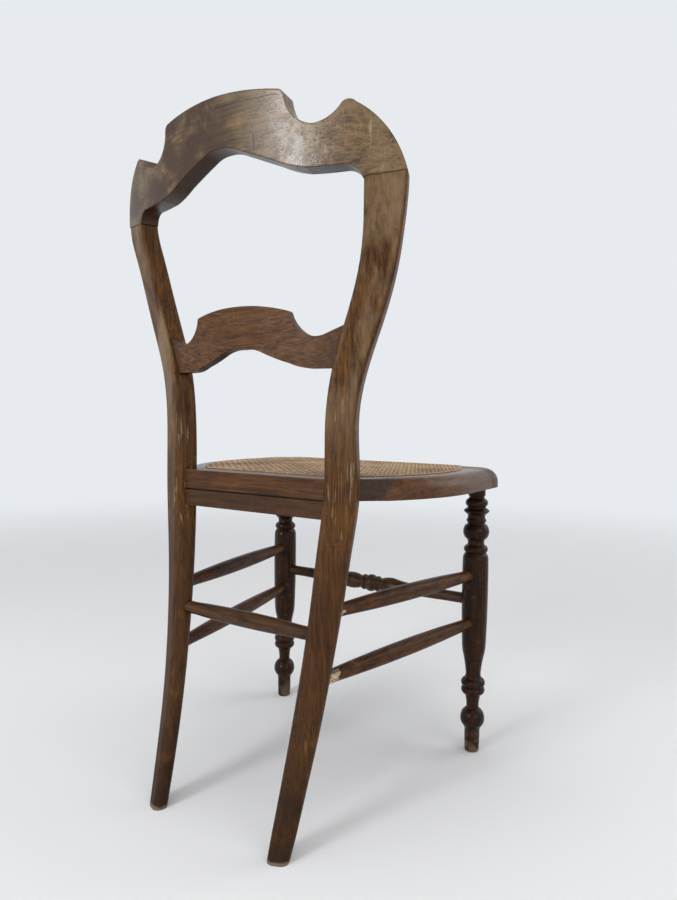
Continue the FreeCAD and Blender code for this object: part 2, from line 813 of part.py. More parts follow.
def front_leg_blank():
    """The turned front leg with its vase, rings, tapering shaft, ball and toe."""
    up = SEAT_BOTTOM / 422.5
    out = S["leg_shaft_r"] / 19.65

    def at(height, radius):
        return out * radius, up * height

    steps = (
        [at(0, 9.6)],
        [at(1.4, 10.8)],
        [at(18, 11.4), at(35, 11.5)],
        [at(37.5, 12.4), at(40, 13.4)],
        [at(44.5, 16.6), at(56.5, 17.9)],
        [at(63.5, 15.4), at(69, 9.5)],
        [at(81, 9.9), at(91, 12.1)],
        [at(92.2, 14.6)],
        [at(98.4, 17.9), at(103.8, 15.4)],
        [at(109.8, 18.25), at(115.8, 15.2)],
        [at(118.2, 12.4)],
        [at(122.5, 11.4), at(127.5, 11.5)],
        [at(143.5, 13.6), at(160, 17.0)],
        [at(168, 17.85), at(176, 18.25)],
        [at(225, 19.45), at(272, 19.65)],
        [at(290, 19.6), at(304.5, 19.3)],
        [at(312.5, 18.0), at(316.5, 15.4)],
        [at(322, 18.1), at(327.5, 15.4)],
        [at(329.2, 12.8)],
        [at(334.5, 12.6), at(340, 16.6)],
        [at(352, 19.45), at(360.5, 15.8)],
        [at(362, 13.4), at(364.4, 13.4)],
        [at(367.4, 15.0), at(370, 13.5)],
        [at(374.6, 13.2), at(379.2, 17.2)],
        [at(382.2, 19.5)],
        [at(385, 17.2), at(386.8, 13.9)],
        [at(389, 13.9)],
        [at(395, 16.85), at(400.6, 13.8)],
        [at(402.4, 11.6)],
        [at(404.4, 11.5)],
        [at(406.8, 12.9)],
        [(out * 12.9, SEAT_BOTTOM)],
        [(S["leg_tenon_r"], SEAT_BOTTOM)],
        [(S["leg_tenon_r"], SEAT_BOTTOM + S["leg_tenon_long"])],
    )
    body = turned("front_leg_blank", steps, SEAT_BOTTOM + S["leg_tenon_long"])
    place(body, S["front_leg_x"], S["front_leg_y"], 0)
    return body


def plain_stretcher(label, start, end, middle_radius):
    """A stretcher with straight ends that swells gently towards its middle."""
    long = keep(label + "_long", distance(start, end))
    radius = S["stretcher_end_r"]
    straight = S["stretcher_straight"]
    body = turned(label, (
        [(radius, 0)],
        [(radius, straight)],
        [(middle_radius, long / 2), (radius, long - straight)],
        [(radius, long)],
    ), long)
    lay_along(body, start, end)
    return body


def front_stretcher(start, end):
    """The stretcher between the front legs, with its turned bead, rings and vases."""
    long = keep("front_stretcher_long", distance(start, end))
    middle = long / 2
    out = S["stretcher_end_r"] / 8.5

    def at(away, radius):
        return out * radius, middle + away

    half = (
        [at(4.8, 13.4), at(8, 10.6)],
        [at(9.6, 10.4)],
        [at(13.2, 13.1), at(16.8, 10.2)],
        [at(18.4, 10.0)],
        [at(20.6, 10.4)],
        [at(33, 13.5), at(50, 12.2)],
        [at(65, 10.2), at(79, 9.3)],
        [at(84, 11.1), at(88, 9.2)],
        [at(112, 9.1), at(140, 8.5)],
    )
    full = both_ways(at(0, 14.6), half, middle)
    steps = [[(S["stretcher_end_r"], 0)]] + full + [[(S["stretcher_end_r"], long)]]
    body = turned("front_stretcher", steps, long)
    lay_along(body, start, end)
    return body


def both_ways(centre, half, middle):
    """A turned outline that runs from one end through the middle to the other, both alike."""
    def over(point):
        return point[0], middle * 2 - point[1]

    ends = [centre] + [step[-1] for step in half]
    steps = [[over(ends[-1])]]
    for number in range(len(half) - 1, -1, -1):
        steps.append([over(point) for point in half[number][:-1]] + [over(ends[number])])
    return steps + list(half)


def bar_line(name, front_height, rear_height):
    """The two ends of a side stretcher, each short of the axis of the leg it enters."""
    front = (S["front_leg_x"], S["front_leg_y"], front_height)
    rear = keep_point(name + "_leg", leg_middle(rear_height) + (rear_height,))
    short = S["stretcher_short_of_axis"]
    return (keep_point(name + "_front", towards(front, rear, short)),
            keep_point(name + "_rear", towards(rear, front, short)))


def hole(label, start, end, radius):
    """The hole for a round bar: a little wider, and a little deeper at both ends."""
    gap = S["hole_end_gap"]
    near = keep_point(label + "_near", towards(start, end, -gap))
    far = keep_point(label + "_far", towards(end, start, -gap))
    return rod(label, near, far, radius + S["fit"])


def across(height, x, y):
    return (-as_size(x), y, height), (as_size(x), y, height)


def dowel_pair(label, lines, radius):
    """Dowels of one kind, kept together as one piece of the list."""
    bars = [rod(f"{label}_{number}", start, end, radius)
            for number, (start, end) in enumerate(lines, start=1)]
    group = doc.addObject("Part::MultiFuse", label)
    group.Label = label
    group.Shapes = bars
    return group


def both_sides(lines):
    return lines + [(flipped(start), flipped(end)) for start, end in lines]


def dowel_holes(label, lines, radius):
    return [hole(f"{label}_hole_{number}", start, end, radius)
            for number, (start, end) in enumerate(lines, start=1)]


# Lines along which the round pieces lie
rise = S["side_stretcher_rise"] / 2
upper_line = bar_line("upper", S["upper_side_height"] - rise, S["upper_side_height"] + rise)
lower_line = bar_line("lower", S["lower_side_height"] + rise, S["lower_side_height"] - rise)
rear_middle = keep_point("rear_middle", leg_middle(S["rear_stretcher_height"]))
rear_x = rear_middle[0] - S["stretcher_short_of_axis"]
rear_line = across(S["rear_stretcher_height"], rear_x, rear_middle[1])
front_x = S["front_leg_x"] - S["stretcher_short_of_axis"]
front_line = across(S["front_stretcher_height"], front_x, S["front_leg_y"])

joint_x, joint_y = keep_point("joint_middle", post_point(S["joint_out"], S["joint_back"]))
half_dowel = S["crest_dowel_long"] / 2
crest_dowel_lines = both_sides([((joint_x, joint_y, S["joint_height"] - half_dowel),
                                 (joint_x, joint_y, S["joint_height"] + half_dowel))])
half_dowel = S["frame_dowel_long"] / 2
rear_dowel_y = S["opening_rear_y"] + 7
rear_dowel_lines = both_sides([((S["rail_end_x"] - half_dowel, rear_dowel_y, SEAT_LINE),
                                (S["rail_end_x"] + half_dowel, rear_dowel_y, SEAT_LINE))])
front_dowel_x = S["seat_half_width"] - S["side_rail_width"] / 2 - S["front_dowel_spacing"] / 2
front_dowel_lines = both_sides([
    ((x, S["seat_corner_joint_y"] - half_dowel, SEAT_LINE - 2),
     (x, S["seat_corner_joint_y"] + half_dowel, SEAT_LINE - 2))
    for x in (front_dowel_x - 5, front_dowel_x - 5 + S["front_dowel_spacing"])
])

crest_dowels = dowel_pair("crest_dowels", crest_dowel_lines, S["crest_dowel_r"])
frame_dowels = dowel_pair("seat_frame_dowels", rear_dowel_lines + front_dowel_lines,
                          S["frame_dowel_r"])
crest_holes = dowel_holes("crest_dowel", crest_dowel_lines, S["crest_dowel_r"])
frame_holes = dowel_holes("frame_dowel", rear_dowel_lines + front_dowel_lines,
                          S["frame_dowel_r"])
rear_holes = frame_holes[:2]
front_holes = frame_holes[2:]

bar_r = S["stretcher_end_r"]
upper_hole = hole("upper_side_hole", *upper_line, bar_r)
lower_hole = hole("lower_side_hole", *lower_line, bar_r)
rear_hole = hole("rear_stretcher_hole", *rear_line, bar_r)
front_hole = hole("front_stretcher_hole", *front_line, bar_r)

back_splat = splat("back_splat", 0)
low_rail = lower_back_rail("lower_back_rail", 0)
rear_rail_blank = seat_rear_rail("rear_rail_blank", 0)
rear_rail = without("seat_rear_rail", rear_rail_blank, rear_holes)
crest = crest_rail(crest_holes)

rear_leg = without("rear_leg_left", rear_leg_blank(), [
    splat("splat_socket", S["fit"]),
    lower_back_rail("lower_rail_socket", S["fit"]),
    seat_rear_rail("rear_rail_socket", S["fit"]),
    side_rail_housing(),
    side_tenon("side_tenon_mortise", S["fit"]),
    upper_hole,
    lower_hole,
    rear_hole,
    crest_holes[0],
])
side_rail = seat_side_rail([rear_holes[0]] + front_holes[:2])

leg_top = S["leg_tenon_long"] + S["hole_end_gap"]
leg_sockets = []
for side, leg_x in (("left", S["front_leg_x"]), ("right", -S["front_leg_x"])):
    foot = (leg_x, S["front_leg_y"], SEAT_BOTTOM - S["hole_end_gap"])
    head = (leg_x, S["front_leg_y"], SEAT_BOTTOM + leg_top)
    leg_sockets.append(rod("leg_socket_" + side, foot, head, S["leg_tenon_r"] + S["fit"]))
front_rail = seat_front_rail(front_holes + leg_sockets)
front_leg = without("front_leg_left", front_leg_blank(), [upper_hole, lower_hole, front_hole])

upper_bar = plain_stretcher("side_stretcher_upper_left", *upper_line, S["side_stretcher_r"])
lower_bar = plain_stretcher("side_stretcher_lower_left", *lower_line, S["side_stretcher_r"])
rear_bar = plain_stretcher("rear_stretcher", *rear_line, S["rear_stretcher_r"])
front_bar = front_stretcher(*front_line)

pieces = [rear_leg, crest, crest_dowels, back_splat, low_rail, rear_rail, side_rail, front_rail,
          frame_dowels, front_leg, upper_bar, lower_bar, rear_bar, front_bar, cane_seat()]
for piece in (rear_leg, side_rail, front_leg, upper_bar, lower_bar):
    pieces.append(mirrored(piece, piece.Label.replace("left", "right")))

doc.recompute()

for thing in doc.Objects:
    if "Invalid" in thing.State or "Error" in thing.State:
        raise RuntimeError(f"{thing.Label} could not be built")
for piece in pieces:
    if piece.Shape.isNull() or not piece.Shape.isValid():
        raise RuntimeError(f"{piece.Label} has no sound shape")

os.makedirs("parts", exist_ok=True)
for piece in pieces:
    piece.Shape.exportStep(f"parts/{piece.Label}.step")
    print(piece.Label, round(piece.Shape.Volume / 1000, 1), "cm3", len(piece.Shape.Solids))
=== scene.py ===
"""Looks of the balloon back chair: stained and worn wood, turned legs and a woven cane seat."""
import bpy
import math
import random
from mathutils import Matrix, Vector


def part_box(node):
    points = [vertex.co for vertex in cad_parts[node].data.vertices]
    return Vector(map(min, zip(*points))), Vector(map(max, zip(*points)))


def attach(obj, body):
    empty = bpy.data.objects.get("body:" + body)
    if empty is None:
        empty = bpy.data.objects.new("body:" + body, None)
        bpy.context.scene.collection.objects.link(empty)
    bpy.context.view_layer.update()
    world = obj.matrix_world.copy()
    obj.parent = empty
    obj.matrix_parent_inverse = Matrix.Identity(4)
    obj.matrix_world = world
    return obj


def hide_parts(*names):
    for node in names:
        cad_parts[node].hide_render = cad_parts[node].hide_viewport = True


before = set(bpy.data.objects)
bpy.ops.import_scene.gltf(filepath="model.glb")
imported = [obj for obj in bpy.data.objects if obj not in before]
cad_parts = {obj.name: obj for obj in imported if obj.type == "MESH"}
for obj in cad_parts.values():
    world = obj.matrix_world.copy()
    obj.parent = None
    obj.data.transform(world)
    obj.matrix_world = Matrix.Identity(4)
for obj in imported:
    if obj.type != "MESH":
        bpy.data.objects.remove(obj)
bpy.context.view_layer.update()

scene = bpy.context.scene
collection = scene.collection
UPRIGHT = Vector((0.0, 0.0, 1.0))


# Small helpers

def from_box(node):
    low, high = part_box(node)
    return Vector(low), Vector(high)


def middle_height(node):
    low, high = from_box(node)
    return (low.z + high.z) / 2


def new_mesh_object(name, points, faces, smooth=True):
    """A mesh piece at the origin, with its place in its mesh."""
    mesh = bpy.data.meshes.new(name)
    mesh.from_pydata(points, [], faces)
    mesh.polygons.foreach_set("use_smooth", [smooth] * len(mesh.polygons))
    mesh.update()
    piece = bpy.data.objects.new(name, mesh)
    collection.objects.link(piece)
    return piece


def tube_faces(rings, around, closed_path=False):
    """The quads of a tube made of rings with the same number of points."""
    faces = []
    last = rings if closed_path else rings - 1
    for ring in range(last):
        here = ring * around
        there = ((ring + 1) % rings) * around
        for number in range(around):
            after = (number + 1) % around
            faces.append((here + number, here + after, there + after, there + number))
    return faces


class Tree:
    """A node tree with short ways to add nodes and links."""

    def __init__(self, tree):
        self.tree = tree

    def add(self, kind, **settings):
        node = self.tree.nodes.new(kind)
        for field, value in settings.items():
            setattr(node, field, value)
        return node

    def link(self, source, target):
        self.tree.links.new(source, target)

    def feed(self, socket, value):
        """Gives a socket a link or a constant."""
        if isinstance(value, bpy.types.NodeSocket):
            self.link(value, socket)
        else:
            socket.default_value = value

    def math(self, operation, *values, clamp=False):
        node = self.add("ShaderNodeMath", operation=operation, use_clamp=clamp)
        for socket, value in zip(node.inputs, values):
            self.feed(socket, value)
        return node.outputs[0]

    def plus(self, first, second):
        return self.math("ADD", first, second)

    def minus(self, first, second):
        return self.math("SUBTRACT", first, second)

    def times(self, first, second):
        return self.math("MULTIPLY", first, second)

    def most(self, first, second):
        return self.math("MAXIMUM", first, second)

    def vector(self, operation, *values):
        node = self.add("ShaderNodeVectorMath", operation=operation)
        for socket, value in zip(node.inputs, values):
            self.feed(socket, value)
        return node.outputs[0]

    def place(self):
        """Object coordinates of the surface."""
        return self.add("ShaderNodeTexCoord").outputs["Object"]

    def noise(self, vector, scale, detail=4.0, roughness=0.55, distortion=0.0, output="Fac"):
        node = self.add("ShaderNodeTexNoise")
        self.link(vector, node.inputs["Vector"])
        self.feed(node.inputs["Scale"], scale)
        node.inputs["Detail"].default_value = detail
        node.inputs["Roughness"].default_value = roughness
        node.inputs["Distortion"].default_value = distortion
        return node.outputs[output]

    def span(self, value, zero_at, one_at):
        """A value turned into 0 at one limit and 1 at another, with a soft change between."""
        node = self.add("ShaderNodeMapRange", interpolation_type="SMOOTHSTEP")
        self.feed(node.inputs["Value"], value)
        self.feed(node.inputs["From Min"], zero_at)
        self.feed(node.inputs["From Max"], one_at)
        return node.outputs["Result"]

    def blend(self, factor, first, second):
        node = self.add("ShaderNodeMix", data_type="RGBA")
        self.feed(node.inputs["Factor"], factor)
        self.feed(node.inputs[6], first)
        self.feed(node.inputs[7], second)
        return node.outputs[2]

    def tint(self, colour, mask, strength, paint):
        """A colour with another laid over it where a mask is bright."""
        return self.blend(self.times(mask, strength), colour, (*paint, 1.0))


def new_group(name, inputs, outputs):
    """A shader node group with named inputs and outputs."""
    tree = bpy.data.node_groups.new(name, "ShaderNodeTree")
    for label, kind, value in inputs:
        socket = tree.interface.new_socket(name=label, in_out="INPUT", socket_type=kind)
        socket.default_value = value
    for label, kind in outputs:
        tree.interface.new_socket(name=label, in_out="OUTPUT", socket_type=kind)
    build = Tree(tree)
    return build, build.add("NodeGroupInput"), build.add("NodeGroupOutput")


FLOAT = "NodeSocketFloat"
VECTOR = "NodeSocketVector"


# Effects that several finishes share

def grain_group():
    """Fine fibres, broad figure and short dark pores, drawn out along the grain."""
    t, given, result = new_group("wood grain", (
        ("Stretch", VECTOR, (1.0, 1.0, 1.0)),
        ("Seed", FLOAT, 0.0),
        ("Fibre scale", FLOAT, 300.0),
    ), (("Fibre", FLOAT), ("Figure", FLOAT), ("Pores", FLOAT), ("Cloud", FLOAT)))
    drift_scale, figure_scale, pore_scale, cloud_scale = 6.0, 85.0, 620.0, 17.0
    drift = 0.012
    seeded = t.vector("ADD", t.place(), given.outputs["Seed"])
    drawn = t.vector("MULTIPLY", seeded, given.outputs["Stretch"])
    wander = t.noise(seeded, scale=drift_scale, detail=2.0, roughness=0.5, output="Color")
    drawn = t.vector("ADD", drawn, t.vector("MULTIPLY", wander, (drift, drift, drift)))
    fibre = t.noise(drawn, scale=given.outputs["Fibre scale"], detail=5.0, roughness=0.62)
    t.link(t.span(fibre, zero_at=0.36, one_at=0.64), result.inputs["Fibre"])
    figure = t.noise(drawn, scale=figure_scale, detail=4.0, roughness=0.55, distortion=0.9)
    t.link(t.span(figure, zero_at=0.36, one_at=0.64), result.inputs["Figure"])
    pores = t.noise(drawn, scale=pore_scale, detail=2.0, roughness=0.5)
    t.link(t.span(pores, zero_at=0.55, one_at=0.66), result.inputs["Pores"])
    cloud = t.noise(seeded, scale=cloud_scale, detail=7.0, roughness=0.66, distortion=0.6)
    t.link(t.span(cloud, zero_at=0.33, one_at=0.68), result.inputs["Cloud"])
    return t.tree


# Three sets of scratches: how far each is turned, and how it is squeezed into lines.
SCRATCH_SETS = (
    (0.5, (9.0, 9.0, 260.0)),
    (1.3, (260.0, 12.0, 12.0)),
    (-0.7, (14.0, 14.0, 330.0)),
)


def wear_group():
    """Blotches of worn finish, fine scratches in three directions, and small dents."""
    t, given, result = new_group("worn finish", (
        ("Seed", FLOAT, 0.0),
        ("Patch scale", FLOAT, 14.0),
        ("Amount", FLOAT, 0.5),
    ), (("Patches", FLOAT), ("Scratches", FLOAT), ("Dents", FLOAT)))
    scratch_gate_scale, dent_scale, dent_gate_scale = 38.0, 105.0, 30.0
    line_width = 0.008
    seeded = t.vector("ADD", t.place(), given.outputs["Seed"])
    patch = t.noise(seeded, scale=given.outputs["Patch scale"], detail=7.0, roughness=0.6)
    low = t.minus(0.78, t.times(given.outputs["Amount"], 0.4))
    high = t.plus(low, 0.16)
    t.link(t.span(patch, zero_at=low, one_at=high), result.inputs["Patches"])
    lines = None
    for turn, squeeze in SCRATCH_SETS:
        turned = t.add("ShaderNodeMapping")
        t.link(seeded, turned.inputs["Vector"])
        turned.inputs["Rotation"].default_value = (turn, turn * 0.6, turn * 0.3)
        turned.inputs["Scale"].default_value = squeeze
        thin = t.noise(turned.outputs["Vector"], scale=1.0, detail=2.0, roughness=0.5)
        ridge = t.span(t.math("ABSOLUTE", t.minus(thin, 0.5)), zero_at=line_width, one_at=0.0)
        lines = ridge if lines is None else t.most(lines, ridge)
    gate = t.span(t.noise(seeded, scale=scratch_gate_scale, detail=3.0), zero_at=0.5, one_at=0.66)
    t.link(t.times(lines, gate), result.inputs["Scratches"])
    cells = t.add("ShaderNodeTexVoronoi", feature="F1")
    t.link(seeded, cells.inputs["Vector"])
    cells.inputs["Scale"].default_value = dent_scale
    dent_gate = t.span(t.noise(seeded, scale=dent_gate_scale, detail=2.0), zero_at=0.55, one_at=0.7)
    dents = t.times(t.span(cells.outputs["Distance"], zero_at=0.13, one_at=0.04), dent_gate)
    t.link(dents, result.inputs["Dents"])
    return t.tree


def edge_group():
    """Where an edge is exposed, and where a corner is hidden from light, for painted shade there."""
    t, given, result = new_group("edges and corners", (
        ("Edge radius", FLOAT, 0.002),
        ("Dirt reach", FLOAT, 0.01),
    ), (("Edges", FLOAT), ("Corner shade", FLOAT), ("Soft normal", VECTOR)))
    rays = 6
    bevel = t.add("ShaderNodeBevel", samples=rays)
    t.link(given.outputs["Edge radius"], bevel.inputs["Radius"])
    geometry = t.add("ShaderNodeNewGeometry")
    meet = t.add("ShaderNodeVectorMath", operation="DOT_PRODUCT")
    t.link(bevel.outputs["Normal"], meet.inputs[0])
    t.link(geometry.outputs["Normal"], meet.inputs[1])
    t.link(t.span(meet.outputs["Value"], zero_at=0.985, one_at=0.9), result.inputs["Edges"])
    t.link(bevel.outputs["Normal"], result.inputs["Soft normal"])
    # Ambient occlusion: painted shade where corners and crevices are hidden from light.
    shade = t.add("ShaderNodeAmbientOcclusion", samples=rays)
    t.link(given.outputs["Dirt reach"], shade.inputs["Distance"])
    t.link(t.span(shade.outputs["AO"], zero_at=0.75, one_at=0.2), result.inputs["Corner shade"])
    return t.tree


GRAIN = grain_group()
WEAR = wear_group()
EDGES = edge_group()


def use_group(t, tree, **values):
    node = t.add("ShaderNodeGroup", node_tree=tree)
    for label, value in values.items():
        t.feed(node.inputs[label.replace("_", " ").capitalize()], value)
    return node.outputs


def new_material(name):
    material = bpy.data.materials.new(name)
    material.use_nodes = True
    t = Tree(material.node_tree)
    shader = material.node_tree.nodes["Principled BSDF"]
    return material, t, shader


def in_three(t, vector):
    """A vector as three numbers."""
    split = t.add("ShaderNodeSeparateXYZ")
    t.link(vector, split.inputs[0])
    return split.outputs[0], split.outputs[1], split.outputs[2]


def coordinates(t):
    """Object coordinates of the surface as three numbers."""
    return in_three(t, t.place())


def surface_normal(t):
    return in_three(t, t.add("ShaderNodeNewGeometry").outputs["Normal"])


def rear_facing(t):
    """How far the surface faces the back of the chair, from 0 to 1."""
    return t.span(surface_normal(t)[1], zero_at=0.35, one_at=0.95)


def downward(t):
    """How far the surface faces the floor, where painted shade darkens it, from 0 to 1."""
    return t.span(surface_normal(t)[2], zero_at=-0.25, one_at=-0.85)


# The share of each part of the grain in the tone between the dark and the light colour.
FIBRE_TONE, FIGURE_TONE, CLOUD_TONE, TONE_DROP = 0.52, 0.26, 0.28, 0.04
# How far the painted shade in corners reaches.
CORNER_SHADE_REACH = 0.012
BUMP_HEIGHT = 0.0005
BLACK = (0.012, 0.008, 0.006)


def wood(name, dark, light, worn, stretch, seed, patch_scale, roughness, amount=0.36, coat=0.0,
         edge_radius=0.0018, dirt=0.8, shine=0.18, relief=0.5, underside_shade=0.7, edge_tone=None,
         extra=None):
    """Stained wood: grain, worn patches, scratches, rubbed edges, painted shade in corners and painted
    shade on faces turned to the floor.
    """
    material, t, shader = new_material(name)
    grain = use_group(t, GRAIN, stretch=stretch, seed=seed)
    wear = use_group(t, WEAR, seed=seed + 3.1, patch_scale=patch_scale, amount=amount)
    edge = use_group(t, EDGES, edge_radius=edge_radius, dirt_reach=CORNER_SHADE_REACH)
    tone = t.plus(t.times(grain["Fibre"], FIBRE_TONE), t.times(grain["Figure"], FIGURE_TONE))
    tone = t.plus(tone, t.times(grain["Cloud"], CLOUD_TONE))
    tone = t.math("SUBTRACT", tone, TONE_DROP, clamp=True)
    colour = t.blend(tone, (*dark, 1.0), (*light, 1.0))
    patches = t.times(wear["Patches"], t.plus(0.35, t.times(grain["Fibre"], 0.5)))
    colour = t.blend(patches, colour, (*worn, 1.0))
    rubbed = t.times(edge["Edges"], t.span(wear["Patches"], zero_at=-0.4, one_at=1.0))
    colour = t.tint(colour, rubbed, strength=0.55, paint=edge_tone or worn)
    colour = t.tint(colour, wear["Scratches"], strength=0.28, paint=worn)
    colour = t.tint(colour, grain["Pores"], strength=0.6, paint=BLACK)
    colour = t.tint(colour, wear["Dents"], strength=0.7, paint=BLACK)
    # Painted shade in corners and crevices, from ambient occlusion.
    colour = t.tint(colour, edge["Corner shade"], strength=dirt, paint=BLACK)
    # Painted shade on faces turned to the floor.
    colour = t.tint(colour, downward(t), strength=underside_shade, paint=[part * 0.5 for part in dark])
    height = t.plus(t.times(grain["Fibre"], 0.5), t.times(grain["Pores"], -0.9))
    height = t.minus(height, t.plus(wear["Dents"], t.times(wear["Scratches"], 0.4)))
    gloss = t.plus(roughness, t.times(t.minus(wear["Patches"], 0.4), 0.22))
    if extra:
        colour, height, gloss = extra(t, colour, height, gloss)
    t.link(colour, shader.inputs["Base Color"])
    t.link(gloss, shader.inputs["Roughness"])
    bump = t.add("ShaderNodeBump")
    bump.inputs["Strength"].default_value = relief
    bump.inputs["Distance"].default_value = BUMP_HEIGHT
    t.link(height, bump.inputs["Height"])
    t.link(edge["Soft normal"], bump.inputs["Normal"])
    t.link(bump.outputs["Normal"], shader.inputs["Normal"])
    shader.inputs["Coat Weight"].default_value = coat
    shader.inputs["Coat Roughness"].default_value = 0.25
    shader.inputs["Specular IOR Level"].default_value = shine
    return material


def line_mask(t, across, path, width, wobble=0.0):
    """A thin line where one coordinate meets a path, wandering by a wobble."""
    away = t.math("ABSOLUTE", t.minus(t.plus(across, wobble), path))
    return t.span(away, zero_at=width, one_at=width * 0.3)


def between(t, value, low, high, soft):
    """1 between two limits and 0 outside them, with soft ends."""
    rise = t.span(value, zero_at=low - soft, one_at=low + soft)
    fall = t.span(value, zero_at=high + soft, one_at=high - soft)
    return t.times(rise, fall)


# Marks on the rear face of the crest rail, in metres.
TOP_CRACK = {"height": 0.8948, "slope": 0.018, "width": 0.0009, "ends": (-0.092, 0.006), "fade": 0.008}
LOW_CRACK = {"height": 0.8452, "slope": -0.10, "width": 0.0007, "ends": (-0.098, -0.050), "fade": 0.006}
CHECK_X, CHECK_WIDTH, CHECK_LOW, CHECK_HIGH, CHECK_FADE = -0.0525, 0.0011, 0.838, 0.856, 0.002
SHEEN_FROM, SHEEN_TO = -0.15, -0.08


def crack(t, x, z, wobble, height, slope, width, ends, fade):
    """A crack that runs along the rail."""
    line = line_mask(t, z, t.plus(height, t.times(x, slope)), width=width, wobble=wobble)
    return t.times(line, between(t, x, *ends, fade))


def crest_marks(t, colour, height, gloss):
    """Two cracks, a short upright check, pits, pale scores, and a rubbed place that shines."""
    x, _, z = coordinates(t)
    where = t.place()
    ragged = t.times(t.minus(t.noise(where, scale=90.0, detail=5.0, roughness=0.7), 0.5), 0.005)
    rear = rear_facing(t)
    top_crack = crack(t, x, z, ragged, **TOP_CRACK)
    low_crack = crack(t, x, z, t.times(ragged, 1.6), **LOW_CRACK)
    check = line_mask(t, x, CHECK_X, width=CHECK_WIDTH, wobble=t.times(ragged, 0.3))
    check = t.times(check, between(t, z, low=CHECK_LOW, high=CHECK_HIGH, soft=CHECK_FADE))
    marks = t.most(t.most(top_crack, check), t.times(low_crack, 0.6))
    pits = t.noise(where, scale=150.0, detail=3.0, roughness=0.6)
    pits = t.times(t.span(pits, zero_at=0.66, one_at=0.71), 0.7)
    marks = t.times(t.most(marks, pits), rear)
    clouds = t.span(t.noise(where, scale=24.0, detail=6.0, roughness=0.65), zero_at=0.34, one_at=0.56)
    dark_side = t.times(t.span(x, zero_at=-0.10, one_at=0.02), clouds)
    colour = t.tint(colour, dark_side, strength=0.88, paint=(0.034, 0.013, 0.0045))
    scores = t.vector("MULTIPLY", where, (1.0, 1.0, 0.06))
    scores = t.noise(scores, scale=330.0, detail=2.0, roughness=0.5)
    scores = t.times(t.span(scores, zero_at=0.64, one_at=0.70), rear)
    scores = t.times(scores, t.span(x, zero_at=-0.10, one_at=-0.14))
    colour = t.tint(colour, scores, strength=0.4, paint=(0.36, 0.27, 0.17))
    colour = t.tint(colour, marks, strength=0.88, paint=(0.006, 0.004, 0.003))
    polish = t.span(t.noise(where, scale=60.0, detail=5.0, roughness=0.6), zero_at=0.3, one_at=0.6)
    rubbed = t.times(between(t, x, low=SHEEN_FROM, high=SHEEN_TO, soft=0.03), polish)
    gloss = t.minus(t.plus(gloss, 0.1), t.times(rubbed, 0.19))
    return colour, t.minus(height, t.times(marks, 3.0)), gloss


def crest_finish(t, colour, height, gloss):
    """The crest rail: its rear face has gone a worn yellowish grey, and carries the marks."""
    grey = t.noise(t.place(), scale=19.0, detail=6.0, roughness=0.65)
    grey = t.times(rear_facing(t), t.span(grey, zero_at=0.38, one_at=0.62))
    colour = t.tint(colour, grey, strength=0.5, paint=(0.195, 0.138, 0.072))
    return crest_marks(t, colour, height, gloss)


def splat_finish(t, colour, height, gloss):
    """The cross rail: pale rubs along the grain, and painted shade at its ends where it meets the posts.
    """
    x, _, _ = coordinates(t)
    drawn = t.vector("MULTIPLY", t.place(), (0.16, 1.0, 1.0))
    rubs = t.noise(drawn, scale=330.0, detail=5.0, roughness=0.7)
    rubs = t.times(t.span(rubs, zero_at=0.5, one_at=0.66), rear_facing(t))
    colour = t.tint(colour, rubs, strength=0.18, paint=(0.26, 0.185, 0.12))
    # Painted shade on the ends of the rail, next to the posts.
    ends = t.span(t.math("ABSOLUTE", x), zero_at=0.10, one_at=0.145)
    return t.tint(colour, ends, strength=0.45, paint=(0.02, 0.01, 0.006)), height, gloss


def leg_finish(t, colour, height, gloss):
    """Rear legs: grey above the seat, warm, streaked and darker below, with painted shade under the
    seat, and a pale rubbed foot.
    """
    _, _, z = coordinates(t)
    where = t.place()
    above = t.span(z, zero_at=0.42, one_at=0.62)
    worn_place = t.vector("MULTIPLY", where, (1.0, 1.0, 0.35))
    worn_off = t.noise(worn_place, scale=30.0, detail=6.0, roughness=0.65)
    worn_off = t.span(worn_off, zero_at=0.4, one_at=0.64)
    grey = t.times(t.times(rear_facing(t), above), worn_off)
    colour = t.tint(colour, grey, strength=0.55, paint=(0.25, 0.175, 0.10))
    streak_place = t.vector("MULTIPLY", where, (1.0, 1.0, 0.07))
    streaks = t.noise(streak_place, scale=120.0, detail=3.0, roughness=0.6)
    streaks = t.span(streaks, zero_at=0.56, one_at=0.72)
    streaks = t.times(streaks, between(t, z, low=0.05, high=0.30, soft=0.05))
    colour = t.tint(colour, streaks, strength=0.8, paint=(0.215, 0.10, 0.028))
    stains = t.span(t.noise(where, scale=34.0, detail=4.0, roughness=0.6), zero_at=0.5, one_at=0.66)
    stains = t.times(stains, between(t, z, low=0.0, high=0.085, soft=0.02))
    colour = t.tint(colour, stains, strength=0.8, paint=BLACK)
    # Painted shade on the legs under the seat.
    shade_under_seat = t.span(z, zero_at=0.42, one_at=0.34)
    colour = t.tint(colour, shade_under_seat, strength=0.5, paint=(0.034, 0.0125, 0.003))
    foot = t.span(t.noise(where, scale=26.0, detail=5.0, roughness=0.6), zero_at=0.3, one_at=0.55)
    foot = t.times(t.span(z, zero_at=0.17, one_at=0.02), foot)
    colour = t.tint(colour, foot, strength=0.82, paint=(0.019, 0.0075, 0.003))
    ragged = t.times(t.noise(where, scale=90.0, detail=3.0), 0.008)
    rim = t.span(t.plus(z, ragged), zero_at=0.0095, one_at=0.006)
    colour = t.tint(colour, rim, strength=0.75, paint=(0.20, 0.155, 0.11))
    pale_place = t.vector("MULTIPLY", where, (1.0, 1.0, 0.12))
    pale = t.span(t.noise(pale_place, scale=190.0, detail=4.0, roughness=0.7), zero_at=0.57, one_at=0.66)
    pale = t.times(pale, between(t, z, low=0.36, high=0.56, soft=0.06))
    return t.tint(colour, pale, strength=0.5, paint=(0.30, 0.215, 0.145)), height, gloss


